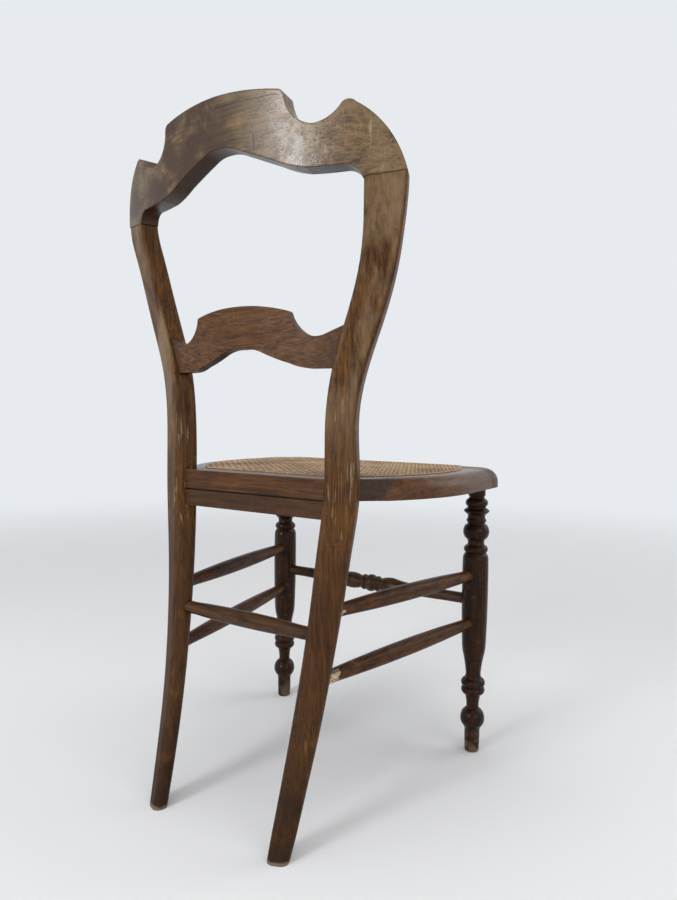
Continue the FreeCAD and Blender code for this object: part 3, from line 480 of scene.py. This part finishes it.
def turned_finish(t, colour, height, gloss):
    """Front legs: pale at the worn toes, with small chips on the long part."""
    _, _, z = coordinates(t)
    where = t.place()
    worn = t.span(t.noise(where, scale=55.0, detail=4.0), zero_at=0.42, one_at=0.6)
    worn = t.times(t.span(z, zero_at=0.05, one_at=0.0), worn)
    colour = t.tint(colour, worn, strength=0.6, paint=(0.17, 0.115, 0.075))
    chips = t.span(t.noise(where, scale=85.0, detail=6.0, roughness=0.7), zero_at=0.56, one_at=0.66)
    chips = t.times(between(t, z, low=0.14, high=0.30, soft=0.03), chips)
    return t.tint(colour, chips, strength=0.45, paint=(0.12, 0.062, 0.03)), height, gloss


# Places on the seat frame, in metres.
CORNER_JOINT_Y = from_box("seat_side_rail_left")[0].y
SEAT_FRAME_MIDDLE_Z = 0.436
RAIL_GAP_Z = 0.4232


def frame_finish(t, colour, height, gloss):
    """Seat frame: painted shade on the block beside each post and in the gap under the rear rail, dark
    lines at the corner joints, darker below the gap, and a painted sheen on the top face.
    """
    x, y, z = coordinates(t)
    slant = t.plus(y, t.times(t.minus(z, SEAT_FRAME_MIDDLE_Z), 0.9))
    slant = t.plus(slant, t.times(t.noise(t.place(), scale=45.0, detail=4.0), 0.02))
    outside = t.span(t.math("ABSOLUTE", x), zero_at=0.146, one_at=0.150)
    # Painted shade on the block of the side rail beside each post.
    block_shade = t.times(t.span(slant, zero_at=0.090, one_at=0.097), outside)
    colour = t.tint(colour, block_shade, strength=0.6, paint=(0.02, 0.012, 0.008))
    # A painted shadow line in the gap under the rear rail.
    shadow_gap = t.times(line_mask(t, z, RAIL_GAP_Z, width=0.0016), t.span(y, zero_at=0.12, one_at=0.13))
    colour = t.tint(colour, shadow_gap, strength=0.95, paint=(0.004, 0.003, 0.002))
    joint = t.times(line_mask(t, y, CORNER_JOINT_Y, width=0.0009), outside)
    colour = t.tint(colour, joint, strength=0.9, paint=(0.008, 0.005, 0.003))
    lower_rail = t.span(z, zero_at=0.4225, one_at=0.4215)
    colour = t.tint(colour, lower_rail, strength=0.4, paint=(0.03, 0.014, 0.007))
    # A painted sheen that lightens the top face of the frame.
    top_sheen = t.span(z, zero_at=0.4485, one_at=0.4497)
    colour = t.tint(colour, top_sheen, strength=0.3, paint=(0.2, 0.125, 0.07))
    return colour, height, gloss


STRETCHER_REAR_END = 0.150
UPPER_BAR_Z = middle_height("side_stretcher_upper_right")
LOWER_BAR_Z = middle_height("side_stretcher_lower_right")


def past(t, value, start, full):
    """0 to 1 between two distances from the rear end of a side stretcher."""
    return t.span(value, zero_at=STRETCHER_REAR_END - start, one_at=STRETCHER_REAR_END - full)


def stretcher_finish(t, colour, height, gloss):
    """Side stretchers: on the right, bare torn wood where they enter the rear leg."""
    x, y, z = coordinates(t)
    where = t.place()
    drawn = t.vector("MULTIPLY", where, (1.0, 0.3, 1.0))
    tongues = t.times(t.span(t.noise(drawn, scale=110.0, detail=3.0), zero_at=0.38, one_at=0.62), 0.010)
    ragged = t.plus(t.times(t.noise(drawn, scale=260.0, detail=5.0, roughness=0.7), 0.02), tongues)
    end = t.plus(y, ragged)
    right_side = t.span(x, zero_at=0.0, one_at=-0.01)
    halfway = (UPPER_BAR_Z + LOWER_BAR_Z) / 2
    lower_bar = t.span(z, zero_at=halfway + 0.005, one_at=halfway - 0.005)
    torn = t.times(past(t, end, start=0.0135, full=0.011), lower_bar)
    stained_top = t.times(t.span(z, zero_at=LOWER_BAR_Z + 0.0015, one_at=LOWER_BAR_Z + 0.005), 0.6)
    torn = t.times(torn, t.minus(1.0, stained_top))
    chipped = t.times(past(t, end, start=0.0145, full=0.012),
                      t.span(z, zero_at=UPPER_BAR_Z + 0.0055, one_at=UPPER_BAR_Z + 0.0025))
    chipped = t.times(chipped, t.minus(1.0, lower_bar))
    bare = t.times(t.most(torn, chipped), right_side)
    fibres = t.noise(t.vector("MULTIPLY", where, (1.0, 0.1, 1.0)), scale=700.0, detail=3.0)
    bare_tone = t.blend(t.span(fibres, zero_at=0.42, one_at=0.58), (0.27, 0.17, 0.09, 1.0),
                        (0.64, 0.52, 0.36, 1.0))
    dark_rim = t.times(t.times(past(t, end, start=0.0195, full=0.013), lower_bar), right_side)
    colour = t.tint(colour, dark_rim, strength=0.75, paint=(0.012, 0.007, 0.004))
    colour = t.blend(bare, colour, bare_tone)
    return colour, height, t.plus(gloss, t.times(bare, 0.35))


# How the grain is drawn out: upright, from side to side, or from front to back.
UP = (1.0, 1.0, 0.045)
ACROSS = (0.045, 1.0, 1.0)
DEEP = (1.0, 0.045, 1.0)

crest_wood = wood(
    "crest wood", dark=(0.038, 0.018, 0.0070), light=(0.200, 0.115, 0.046), worn=(0.35, 0.255, 0.145),
    stretch=ACROSS, seed=1.7, patch_scale=11.0, amount=0.5, roughness=0.33, edge_radius=0.0032,
    shine=0.36, relief=0.13, underside_shade=0.92, edge_tone=(0.024, 0.011, 0.006), extra=crest_finish)
splat_wood = wood(
    "cross rail wood", dark=(0.048, 0.018, 0.0062), light=(0.128, 0.053, 0.0165),
    worn=(0.27, 0.165, 0.09), stretch=ACROSS, seed=4.2, patch_scale=13.0, amount=0.4, roughness=0.5,
    underside_shade=0.9, extra=splat_finish)
post_wood = wood(
    "rear leg wood", dark=(0.028, 0.0098, 0.0026), light=(0.138, 0.058, 0.0150),
    worn=(0.25, 0.15, 0.075), stretch=UP, seed=7.3, patch_scale=16.0, roughness=0.5, shine=0.12,
    extra=leg_finish)
frame_wood_side = wood(
    "side rail wood", dark=(0.032, 0.0092, 0.0020), light=(0.130, 0.044, 0.0085),
    worn=(0.25, 0.130, 0.052), stretch=DEEP, seed=2.4, patch_scale=15.0, roughness=0.36, coat=0.04,
    dirt=0.5, shine=0.24, extra=frame_finish)
frame_wood_cross = wood(
    "front rail wood", dark=(0.030, 0.0105, 0.0032), light=(0.112, 0.045, 0.013),
    worn=(0.23, 0.12, 0.055), stretch=ACROSS, seed=5.9, patch_scale=15.0, roughness=0.44,
    extra=frame_finish)
turned_wood = wood(
    "front leg wood", dark=(0.008, 0.0028, 0.001), light=(0.042, 0.0155, 0.0055),
    worn=(0.11, 0.052, 0.022), stretch=UP, seed=9.1, patch_scale=30.0, amount=0.26, roughness=0.28,
    edge_radius=0.0008, shine=0.13, relief=0.3, extra=turned_finish)
bar_wood_side = wood(
    "side stretcher wood", dark=(0.020, 0.0060, 0.0014), light=(0.112, 0.040, 0.0085),
    worn=(0.2, 0.105, 0.042), stretch=DEEP, seed=3.3, patch_scale=22.0, roughness=0.42,
    edge_radius=0.0008, shine=0.12, extra=stretcher_finish)
bar_wood_cross = wood(
    "stretcher wood", dark=(0.015, 0.0053, 0.0018), light=(0.09, 0.0385, 0.013),
    worn=(0.2, 0.105, 0.048), stretch=ACROSS, seed=6.6, patch_scale=22.0, roughness=0.4,
    edge_radius=0.0008)
dowel_wood = wood(
    "dowel wood", dark=(0.36, 0.24, 0.13), light=(0.5, 0.36, 0.21), worn=(0.55, 0.42, 0.27),
    stretch=UP, seed=0.4, patch_scale=20.0, amount=0.3, roughness=0.6)
torn_wood = wood(
    "torn wood", dark=(0.30, 0.20, 0.11), light=(0.64, 0.51, 0.35), worn=(0.66, 0.54, 0.38),
    stretch=DEEP, seed=1.1, patch_scale=20.0, amount=0.4, roughness=0.75)


seat_low, seat_high = from_box("cane_seat")
CANE_TOP = seat_high.z


def cane_material(name, light, dark, roughness, depth_shade):
    """Split cane: a golden skin, mottled, with painted shade where a strand lies deep and in its
    crevices.
    """
    material, t, shader = new_material(name)
    where = t.place()
    mottle = t.noise(where, scale=210.0, detail=4.0, roughness=0.6)
    broad = t.noise(where, scale=16.0, detail=4.0, roughness=0.6)
    tone = t.plus(t.times(mottle, 0.5), t.times(broad, 0.5))
    colour = t.blend(t.span(tone, zero_at=0.36, one_at=0.62), (*dark, 1.0), (*light, 1.0))
    edge = use_group(t, EDGES, edge_radius=0.0004, dirt_reach=0.003)
    _, _, z = coordinates(t)
    # Painted shade where a strand lies deep, and in crevices from ambient occlusion.
    sunk = t.span(z, zero_at=CANE_TOP + 0.0002, one_at=CANE_TOP - 0.0009)
    shade = t.most(t.times(edge["Corner shade"], 0.5), t.times(sunk, depth_shade))
    colour = t.blend(shade, colour, (0.045, 0.022, 0.009, 1.0))
    t.link(colour, shader.inputs["Base Color"])
    t.link(t.plus(roughness, t.times(broad, 0.2)), shader.inputs["Roughness"])
    bump = t.add("ShaderNodeBump")
    bump.inputs["Strength"].default_value = 0.25
    bump.inputs["Distance"].default_value = 0.0002
    t.link(mottle, bump.inputs["Height"])
    t.link(bump.outputs["Normal"], shader.inputs["Normal"])
    shader.inputs["Specular IOR Level"].default_value = 0.35
    return material


cane = cane_material("cane strands", light=(0.56, 0.38, 0.225), dark=(0.28, 0.165, 0.08), roughness=0.38,
                     depth_shade=0.95)
cane_rim = cane_material("cane rim", light=(0.46, 0.31, 0.18), dark=(0.25, 0.15, 0.08), roughness=0.45,
                         depth_shade=0.3)

FINISHES = {
    "crest_rail": crest_wood,
    "back_splat": splat_wood,
    "rear_leg_left": post_wood,
    "rear_leg_right": post_wood,
    "seat_rear_rail": frame_wood_cross,
    "lower_back_rail": frame_wood_cross,
    "seat_front_rail": frame_wood_cross,
    "seat_side_rail_left": frame_wood_side,
    "seat_side_rail_right": frame_wood_side,
    "front_leg_left": turned_wood,
    "front_leg_right": turned_wood,
    "side_stretcher_upper_left": bar_wood_side,
    "side_stretcher_upper_right": bar_wood_side,
    "side_stretcher_lower_left": bar_wood_side,
    "side_stretcher_lower_right": bar_wood_side,
    "rear_stretcher": bar_wood_cross,
    "front_stretcher": bar_wood_cross,
    "crest_dowels": dowel_wood,
    "seat_frame_dowels": dowel_wood,
}


def dress_nodes():
    """Gives each CAD node its finish, in the material slots only."""
    for name, material in FINISHES.items():
        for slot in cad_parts[name].material_slots:
            slot.link = "OBJECT"
            slot.material = material


# The woven seat, in metres. Each side of the cane is an arc, and the front corners are rounded.

SIDE_RADIUS = 0.216
SIDE_MIDDLE_X = seat_high.x - SIDE_RADIUS
WIDEST_Y = -0.064
CORNER = 0.014
CANE_PITCH = 0.0127
CANE_RIM = 0.0045
PAIR_HALF = 0.0016
STRAND_WIDE = 0.0021
STRAND_THICK = 0.0008
STRAND_LIFT = 0.00055
WEAVE_SINK = 0.0006


def side_x(y, inset=0.0):
    """The half width of the cane at a given depth, with its edge moved in by an inset."""
    return SIDE_MIDDLE_X + math.sqrt((SIDE_RADIUS - inset) ** 2 - (y - WIDEST_Y) ** 2)


CORNER_Y = seat_low.y + CORNER
CORNER_X = side_x(CORNER_Y) - CORNER


def strand(start, end, lift, phase, steps):
    """Points and faces of a flat strand that runs over and under the ones it crosses."""
    points = []
    along = (end - start).normalized()
    side = Vector((-along.y, along.x, 0.0))
    for step in range(steps + 1):
        share = step / steps
        middle = start.lerp(end, share)
        middle.z += lift * math.cos(2 * math.pi * (share + phase))
        for across, up in ((-0.5, -0.5), (0.5, -0.5), (0.5, 0.15), (0.0, 0.5), (-0.5, 0.15)):
            points.append(middle + side * (across * STRAND_WIDE) + Vector((0, 0, up * STRAND_THICK)))
    return points, tube_faces(steps + 1, 5)


def weave_tile(name, strands):
    """One repeat of a strand family, as a mesh to be laid out over the seat."""
    points = []
    faces = []
    for piece_points, piece_faces in strands:
        base = len(points)
        points.extend(piece_points)
        faces.extend(tuple(base + number for number in face) for face in piece_faces)
    return new_mesh_object(name, points, faces)


def strand_families():
    """The crossing pairs and the diagonals of the six-way pattern, for one repeat, with their level."""
    half = CANE_PITCH / 2
    straight_steps, diagonal_steps = 6, 8
    diagonal_lift = STRAND_LIFT * 1.2
    lengthwise = []
    crosswise = []
    for side in (-1, 1):
        offset = side * PAIR_HALF
        lengthwise.append(strand(Vector((offset, -half, 0)), Vector((offset, half, 0)), lift=STRAND_LIFT,
                                 phase=0.0 if side > 0 else 0.5, steps=straight_steps))
        crosswise.append(strand(Vector((-half, offset, 0)), Vector((half, offset, 0)), lift=STRAND_LIFT,
                                phase=0.5 if side > 0 else 0.0, steps=straight_steps))
    diagonals = [
        strand(Vector((-half, -half, 0)), Vector((half, half, 0)), lift=diagonal_lift, phase=0.25,
               steps=diagonal_steps),
        strand(Vector((-half, half, 0)), Vector((half, -half, 0)), lift=diagonal_lift, phase=0.75,
               steps=diagonal_steps),
    ]
    return {"cane_lengthwise": (lengthwise, -0.0002), "cane_crosswise": (crosswise, -0.0002),
            "cane_diagonals": (diagonals, 0.0001)}


def seat_layout_tree(tile, name):
    """Lays a tile out over the seat and trims it to the seat's outline."""
    tree = bpy.data.node_groups.new(name, "GeometryNodeTree")
    tree.interface.new_socket(name="Geometry", in_out="OUTPUT", socket_type="NodeSocketGeometry")
    tree.interface.new_socket(name="Geometry", in_out="INPUT", socket_type="NodeSocketGeometry")
    sizes = {"Pitch": CANE_PITCH, "Side radius": SIDE_RADIUS, "Side middle": SIDE_MIDDLE_X,
             "Widest": WIDEST_Y, "Front": seat_low.y, "Rear": seat_high.y, "Corner": CORNER,
             "Rim": CANE_RIM / 2, "Level": CANE_TOP}
    for label, value in sizes.items():
        socket = tree.interface.new_socket(name=label, in_out="INPUT", socket_type=FLOAT)
        socket.default_value = value
    t = Tree(tree)
    given = t.add("NodeGroupInput").outputs
    result = t.add("NodeGroupOutput")
    columns = int((seat_high.x * 2) / CANE_PITCH) + 3
    rows = int((seat_high.y - seat_low.y) / CANE_PITCH) + 3
    grid = t.add("GeometryNodeMeshGrid")
    grid.inputs["Vertices X"].default_value = columns
    grid.inputs["Vertices Y"].default_value = rows
    t.link(t.times(given["Pitch"], columns - 1.0), grid.inputs["Size X"])
    t.link(t.times(given["Pitch"], rows - 1.0), grid.inputs["Size Y"])
    middle = t.add("ShaderNodeCombineXYZ")
    t.link(t.times(t.plus(given["Front"], given["Rear"]), 0.5), middle.inputs[1])
    t.link(given["Level"], middle.inputs[2])
    place = t.add("GeometryNodeSetPosition")
    t.link(grid.outputs["Mesh"], place.inputs["Geometry"])
    t.link(middle.outputs[0], place.inputs["Offset"])
    source = t.add("GeometryNodeObjectInfo")
    source.inputs["Object"].default_value = tile
    instances = t.add("GeometryNodeInstanceOnPoints")
    t.link(place.outputs["Geometry"], instances.inputs["Points"])
    t.link(source.outputs["Geometry"], instances.inputs["Instance"])
    made = t.add("GeometryNodeRealizeInstances")
    t.link(instances.outputs["Instances"], made.inputs["Geometry"])
    trim = t.add("GeometryNodeDeleteGeometry", domain="POINT")
    t.link(made.outputs["Geometry"], trim.inputs["Geometry"])
    t.link(outside_seat(t, given), trim.inputs["Selection"])
    finish = t.add("GeometryNodeSetMaterial")
    finish.inputs["Material"].default_value = cane
    t.link(trim.outputs["Geometry"], finish.inputs["Geometry"])
    t.link(finish.outputs["Geometry"], result.inputs[0])
    return tree


def outside_seat(t, given):
    """1 where a point lies outside the middle line of the cane's binding."""
    x, y, _ = in_three(t, t.add("GeometryNodeInputPosition").outputs[0])
    half_x = t.math("ABSOLUTE", x)
    inner = t.minus(given["Side radius"], given["Rim"])
    away = t.minus(y, given["Widest"])
    reach = t.math("SQRT", t.most(t.minus(t.times(inner, inner), t.times(away, away)), 0.0))
    out_side = t.math("GREATER_THAN", half_x, t.plus(given["Side middle"], reach))
    out_rear = t.math("GREATER_THAN", y, t.minus(given["Rear"], given["Rim"]))
    out_front = t.math("LESS_THAN", y, t.plus(given["Front"], given["Rim"]))
    over_x = t.most(t.minus(half_x, CORNER_X), 0.0)
    over_y = t.most(t.minus(t.plus(given["Front"], given["Corner"]), y), 0.0)
    from_corner = t.math("SQRT", t.plus(t.times(over_x, over_x), t.times(over_y, over_y)))
    in_corner = t.times(t.math("GREATER_THAN", over_x, 0.0), t.math("GREATER_THAN", over_y, 0.0))
    past_corner = t.math("GREATER_THAN", from_corner, t.minus(given["Corner"], given["Rim"]))
    return t.most(t.most(out_side, out_rear), t.most(out_front, t.times(in_corner, past_corner)))


def as_plain_mesh(maker, name):
    """The evaluated result of an object's modifiers as a piece of its own."""
    bpy.context.view_layer.update()
    ready = maker.evaluated_get(bpy.context.evaluated_depsgraph_get())
    mesh = bpy.data.meshes.new_from_object(ready)
    mesh.name = name
    piece = bpy.data.objects.new(name, mesh)
    collection.objects.link(piece)
    bpy.data.objects.remove(maker)
    return piece


def woven_seat():
    """The strands of the seat, one piece for each direction, replacing the plain sheet."""
    pieces = []
    for name, (strands, level) in strand_families().items():
        tile = weave_tile(name + "_tile", strands)
        for vertex in tile.data.vertices:
            vertex.co.z += level - WEAVE_SINK
        maker = new_mesh_object(name + "_maker", [(0, 0, 0)], [])
        layout = maker.modifiers.new("layout", "NODES")
        layout.node_group = seat_layout_tree(tile, name + " layout")
        piece = as_plain_mesh(maker, name)
        bpy.data.objects.remove(tile)
        for polygon in piece.data.polygons:
            polygon.use_smooth = True
        pieces.append(piece)
    pieces.append(seat_rim())
    for piece in pieces:
        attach(piece, "root")
    for piece in pieces:
        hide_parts("cane_seat")


def seat_outline(inset):
    """Points round the cane's outline, moved in by an inset."""
    points = []
    rear = seat_high.y - inset
    steps = 28
    for step in range(steps + 1):
        y = rear + (CORNER_Y - rear) * step / steps
        points.append((side_x(y, inset), y))
    turns = 10
    radius = CORNER - inset
    for step in range(1, turns + 1):
        turn = math.pi / 2 * step / turns
        points.append((CORNER_X + radius * math.cos(turn), CORNER_Y - radius * math.sin(turn)))
    other = [(-x, y) for x, y in reversed(points)]
    return points + other


# The section of the binding: shares of its width, and of its height from its underside.
RIM_SECTION = ((-0.5, 0.0), (0.5, 0.0), (0.5, 0.45), (0.25, 0.8), (-0.25, 0.8), (-0.5, 0.45))
RIM_BELOW = 0.0016
RIM_HIGH = 0.0022


def seat_rim():
    """The flat cane binding that covers the ends of the strands."""
    middle = seat_outline(CANE_RIM / 2)
    count = len(middle)
    points = []
    for number in range(count):
        before = Vector(middle[number - 1])
        after = Vector(middle[(number + 1) % count])
        along = (after - before).normalized()
        side = Vector((-along.y, along.x))
        here = Vector(middle[number])
        for across, up in RIM_SECTION:
            spot = here + side * (across * CANE_RIM)
            points.append((spot.x, spot.y, CANE_TOP - RIM_BELOW + up * RIM_HIGH))
    piece = new_mesh_object("cane_rim", points, tube_faces(count, len(RIM_SECTION), closed_path=True))
    piece.data.materials.append(cane_rim)
    return piece


# The axis of the lower right stretcher, from its front end to its rear end, in metres.
LOWER_BAR_FRONT = Vector((-0.188, -0.181, 0.207))
LOWER_BAR_REAR = Vector((-0.1165, 0.156, 0.203))
LOWER_BAR_RADIUS = 0.0084


def torn_end():
    """Torn slivers round the rear end of the lower right stretcher, where it is bare wood."""
    chance = random.Random(7)
    along = (LOWER_BAR_REAR - LOWER_BAR_FRONT).normalized()
    side = along.cross(UPRIGHT).normalized()
    up = side.cross(along)
    root = LOWER_BAR_REAR - along * 0.006
    points = []
    faces = []
    slivers = 34
    for number in range(slivers):
        turn = 2 * math.pi * (number + chance.uniform(-0.3, 0.3)) / slivers
        out = side * math.cos(turn) + up * math.sin(turn)
        round_it = along.cross(out)
        length = chance.uniform(0.010, 0.020)
        wide = chance.uniform(0.0005, 0.0011)
        deep = chance.uniform(0.0004, 0.0009)
        base = len(points)
        for share, slim in ((0.0, 1.0), (0.6, 0.8), (1.0, 0.15)):
            radius = LOWER_BAR_RADIUS + 0.0002 * share + (0.0009 * share * chance.random())
            middle = root - along * (length * share)
            for across, raised in ((-0.5, 0.0), (0.5, 0.0), (0.0, 1.0)):
                points.append(middle + out * (radius + raised * deep * slim)
                              + round_it * (across * wide * slim))
        faces.extend(tuple(base + corner for corner in face) for face in tube_faces(3, 3))
        faces.append((base + 6, base + 7, base + 8))
        faces.append((base + 2, base + 1, base))
    piece = new_mesh_object("torn_stretcher_end", points, faces, smooth=False)
    piece.data.materials.append(torn_wood)
    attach(piece, "root")


CAMERA_PLACE = Vector((-0.584, 0.820, 0.527))
CAMERA_YAW, CAMERA_PITCH, CAMERA_ROLL = 33.21, -2.85, 0.65
CAMERA_SENSOR = 36.0
FOCAL_PIXELS = 678.4
PICTURE_HEIGHT = 900.0


def place_camera():
    """The camera, where the matched edges of the two sides put it."""
    yaw = math.radians(CAMERA_YAW)
    pitch = math.radians(CAMERA_PITCH)
    roll = math.radians(CAMERA_ROLL)
    ahead = Vector((math.sin(yaw) * math.cos(pitch), -math.cos(yaw) * math.cos(pitch), math.sin(pitch)))
    right = ahead.cross(UPRIGHT).normalized()
    up = right.cross(ahead)
    turned_right = right * math.cos(roll) + up * math.sin(roll)
    turned_up = up * math.cos(roll) - right * math.sin(roll)
    data = bpy.data.cameras.new("camera")
    data.sensor_width = CAMERA_SENSOR
    data.lens = CAMERA_SENSOR * FOCAL_PIXELS / PICTURE_HEIGHT
    data.clip_start = 0.01
    camera = bpy.data.objects.new("camera", data)
    collection.objects.link(camera)
    turn = Matrix((turned_right, turned_up, -ahead)).transposed().to_4x4()
    camera.matrix_world = Matrix.Translation(CAMERA_PLACE) @ turn
    scene.camera = camera


# The studio shell: the radius and height of each ring, from the floor's edge up the wall.
SHELL_RINGS = ((3.0, 0.0), (4.2, 0.0), (5.0, 0.2), (5.5, 0.7), (5.7, 1.6), (5.7, 5.0))
SHELL_AROUND = 64
GLOW_FROM, GLOW_FULL = 0.9, 3.6


def backdrop():
    """A pale floor that rises far behind the chair into a paler wall all round."""
    material, t, shader = new_material("studio")
    shader.inputs["Base Color"].default_value = (0.80, 0.80, 0.80, 1.0)
    shader.inputs["Roughness"].default_value = 0.9
    shader.inputs["Specular IOR Level"].default_value = 0.1
    glow = t.add("ShaderNodeEmission")
    glow.inputs["Color"].default_value = (0.80, 0.83, 0.86, 1.0)
    path = t.add("ShaderNodeLightPath")
    seen = t.math("ADD", path.outputs["Is Camera Ray"], path.outputs["Is Glossy Ray"], clamp=True)
    seen = t.math("ADD", seen, path.outputs["Is Transmission Ray"], clamp=True)
    x, y, _ = coordinates(t)
    far = t.math("SQRT", t.plus(t.times(x, x), t.times(y, y)))
    far = t.span(far, zero_at=GLOW_FROM, one_at=GLOW_FULL)
    mix = t.add("ShaderNodeMixShader")
    t.link(t.times(seen, far), mix.inputs[0])
    t.link(shader.outputs[0], mix.inputs[1])
    t.link(glow.outputs[0], mix.inputs[2])
    t.link(mix.outputs[0], material.node_tree.nodes["Material Output"].inputs["Surface"])
    points = []
    faces = [tuple(range(SHELL_AROUND))]
    for radius, height in SHELL_RINGS:
        for step in range(SHELL_AROUND):
            turn = 2 * math.pi * step / SHELL_AROUND
            points.append((radius * math.cos(turn), radius * math.sin(turn), height))
    for ring in range(len(SHELL_RINGS) - 1):
        here, there = ring * SHELL_AROUND, (ring + 1) * SHELL_AROUND
        for step in range(SHELL_AROUND):
            after = (step + 1) % SHELL_AROUND
            faces.append((here + step, there + step, there + after, here + after))
    floor = new_mesh_object("studio_floor", points, faces)
    floor.data.materials.append(material)


def area_light(name, place, aim, size, power, colour=(1.0, 1.0, 1.0)):
    data = bpy.data.lights.new(name, "AREA")
    data.shape = "RECTANGLE"
    data.size, data.size_y = size
    data.energy = power
    data.color = colour
    light = bpy.data.objects.new(name, data)
    collection.objects.link(light)
    ray = Vector(aim) - Vector(place)
    light.matrix_world = Matrix.Translation(place) @ ray.to_track_quat("-Z", "Y").to_matrix().to_4x4()


def lights():
    """A soft window behind the chair's left, a broad top light, two fills and a pale room."""
    area_light("window", place=(0.66, 3.2, 1.4), aim=(-0.05, 0.1, 0.75), size=(0.8, 1.5), power=60.0,
               colour=(0.97, 0.985, 1.0))
    area_light("ceiling", place=(0.0, 0.6, 3.4), aim=(0.0, 0.0, 0.4), size=(3.2, 3.2), power=48.0)
    area_light("side_fill", place=(-3.0, 1.2, 1.4), aim=(0.0, 0.0, 0.5), size=(2.2, 2.2), power=28.0)
    area_light("front_fill", place=(-2.3, -2.5, 2.4), aim=(0.0, 0.0, 0.5), size=(2.2, 2.2), power=30.0)
    world = bpy.data.worlds.new("room")
    world.use_nodes = True
    background = world.node_tree.nodes["Background"]
    background.inputs["Color"].default_value = (0.93, 0.95, 1.0, 1.0)
    background.inputs["Strength"].default_value = 0.4
    scene.world = world


dress_nodes()
woven_seat()
torn_end()
backdrop()
lights()
place_camera()
scene.view_settings.view_transform = "Standard"
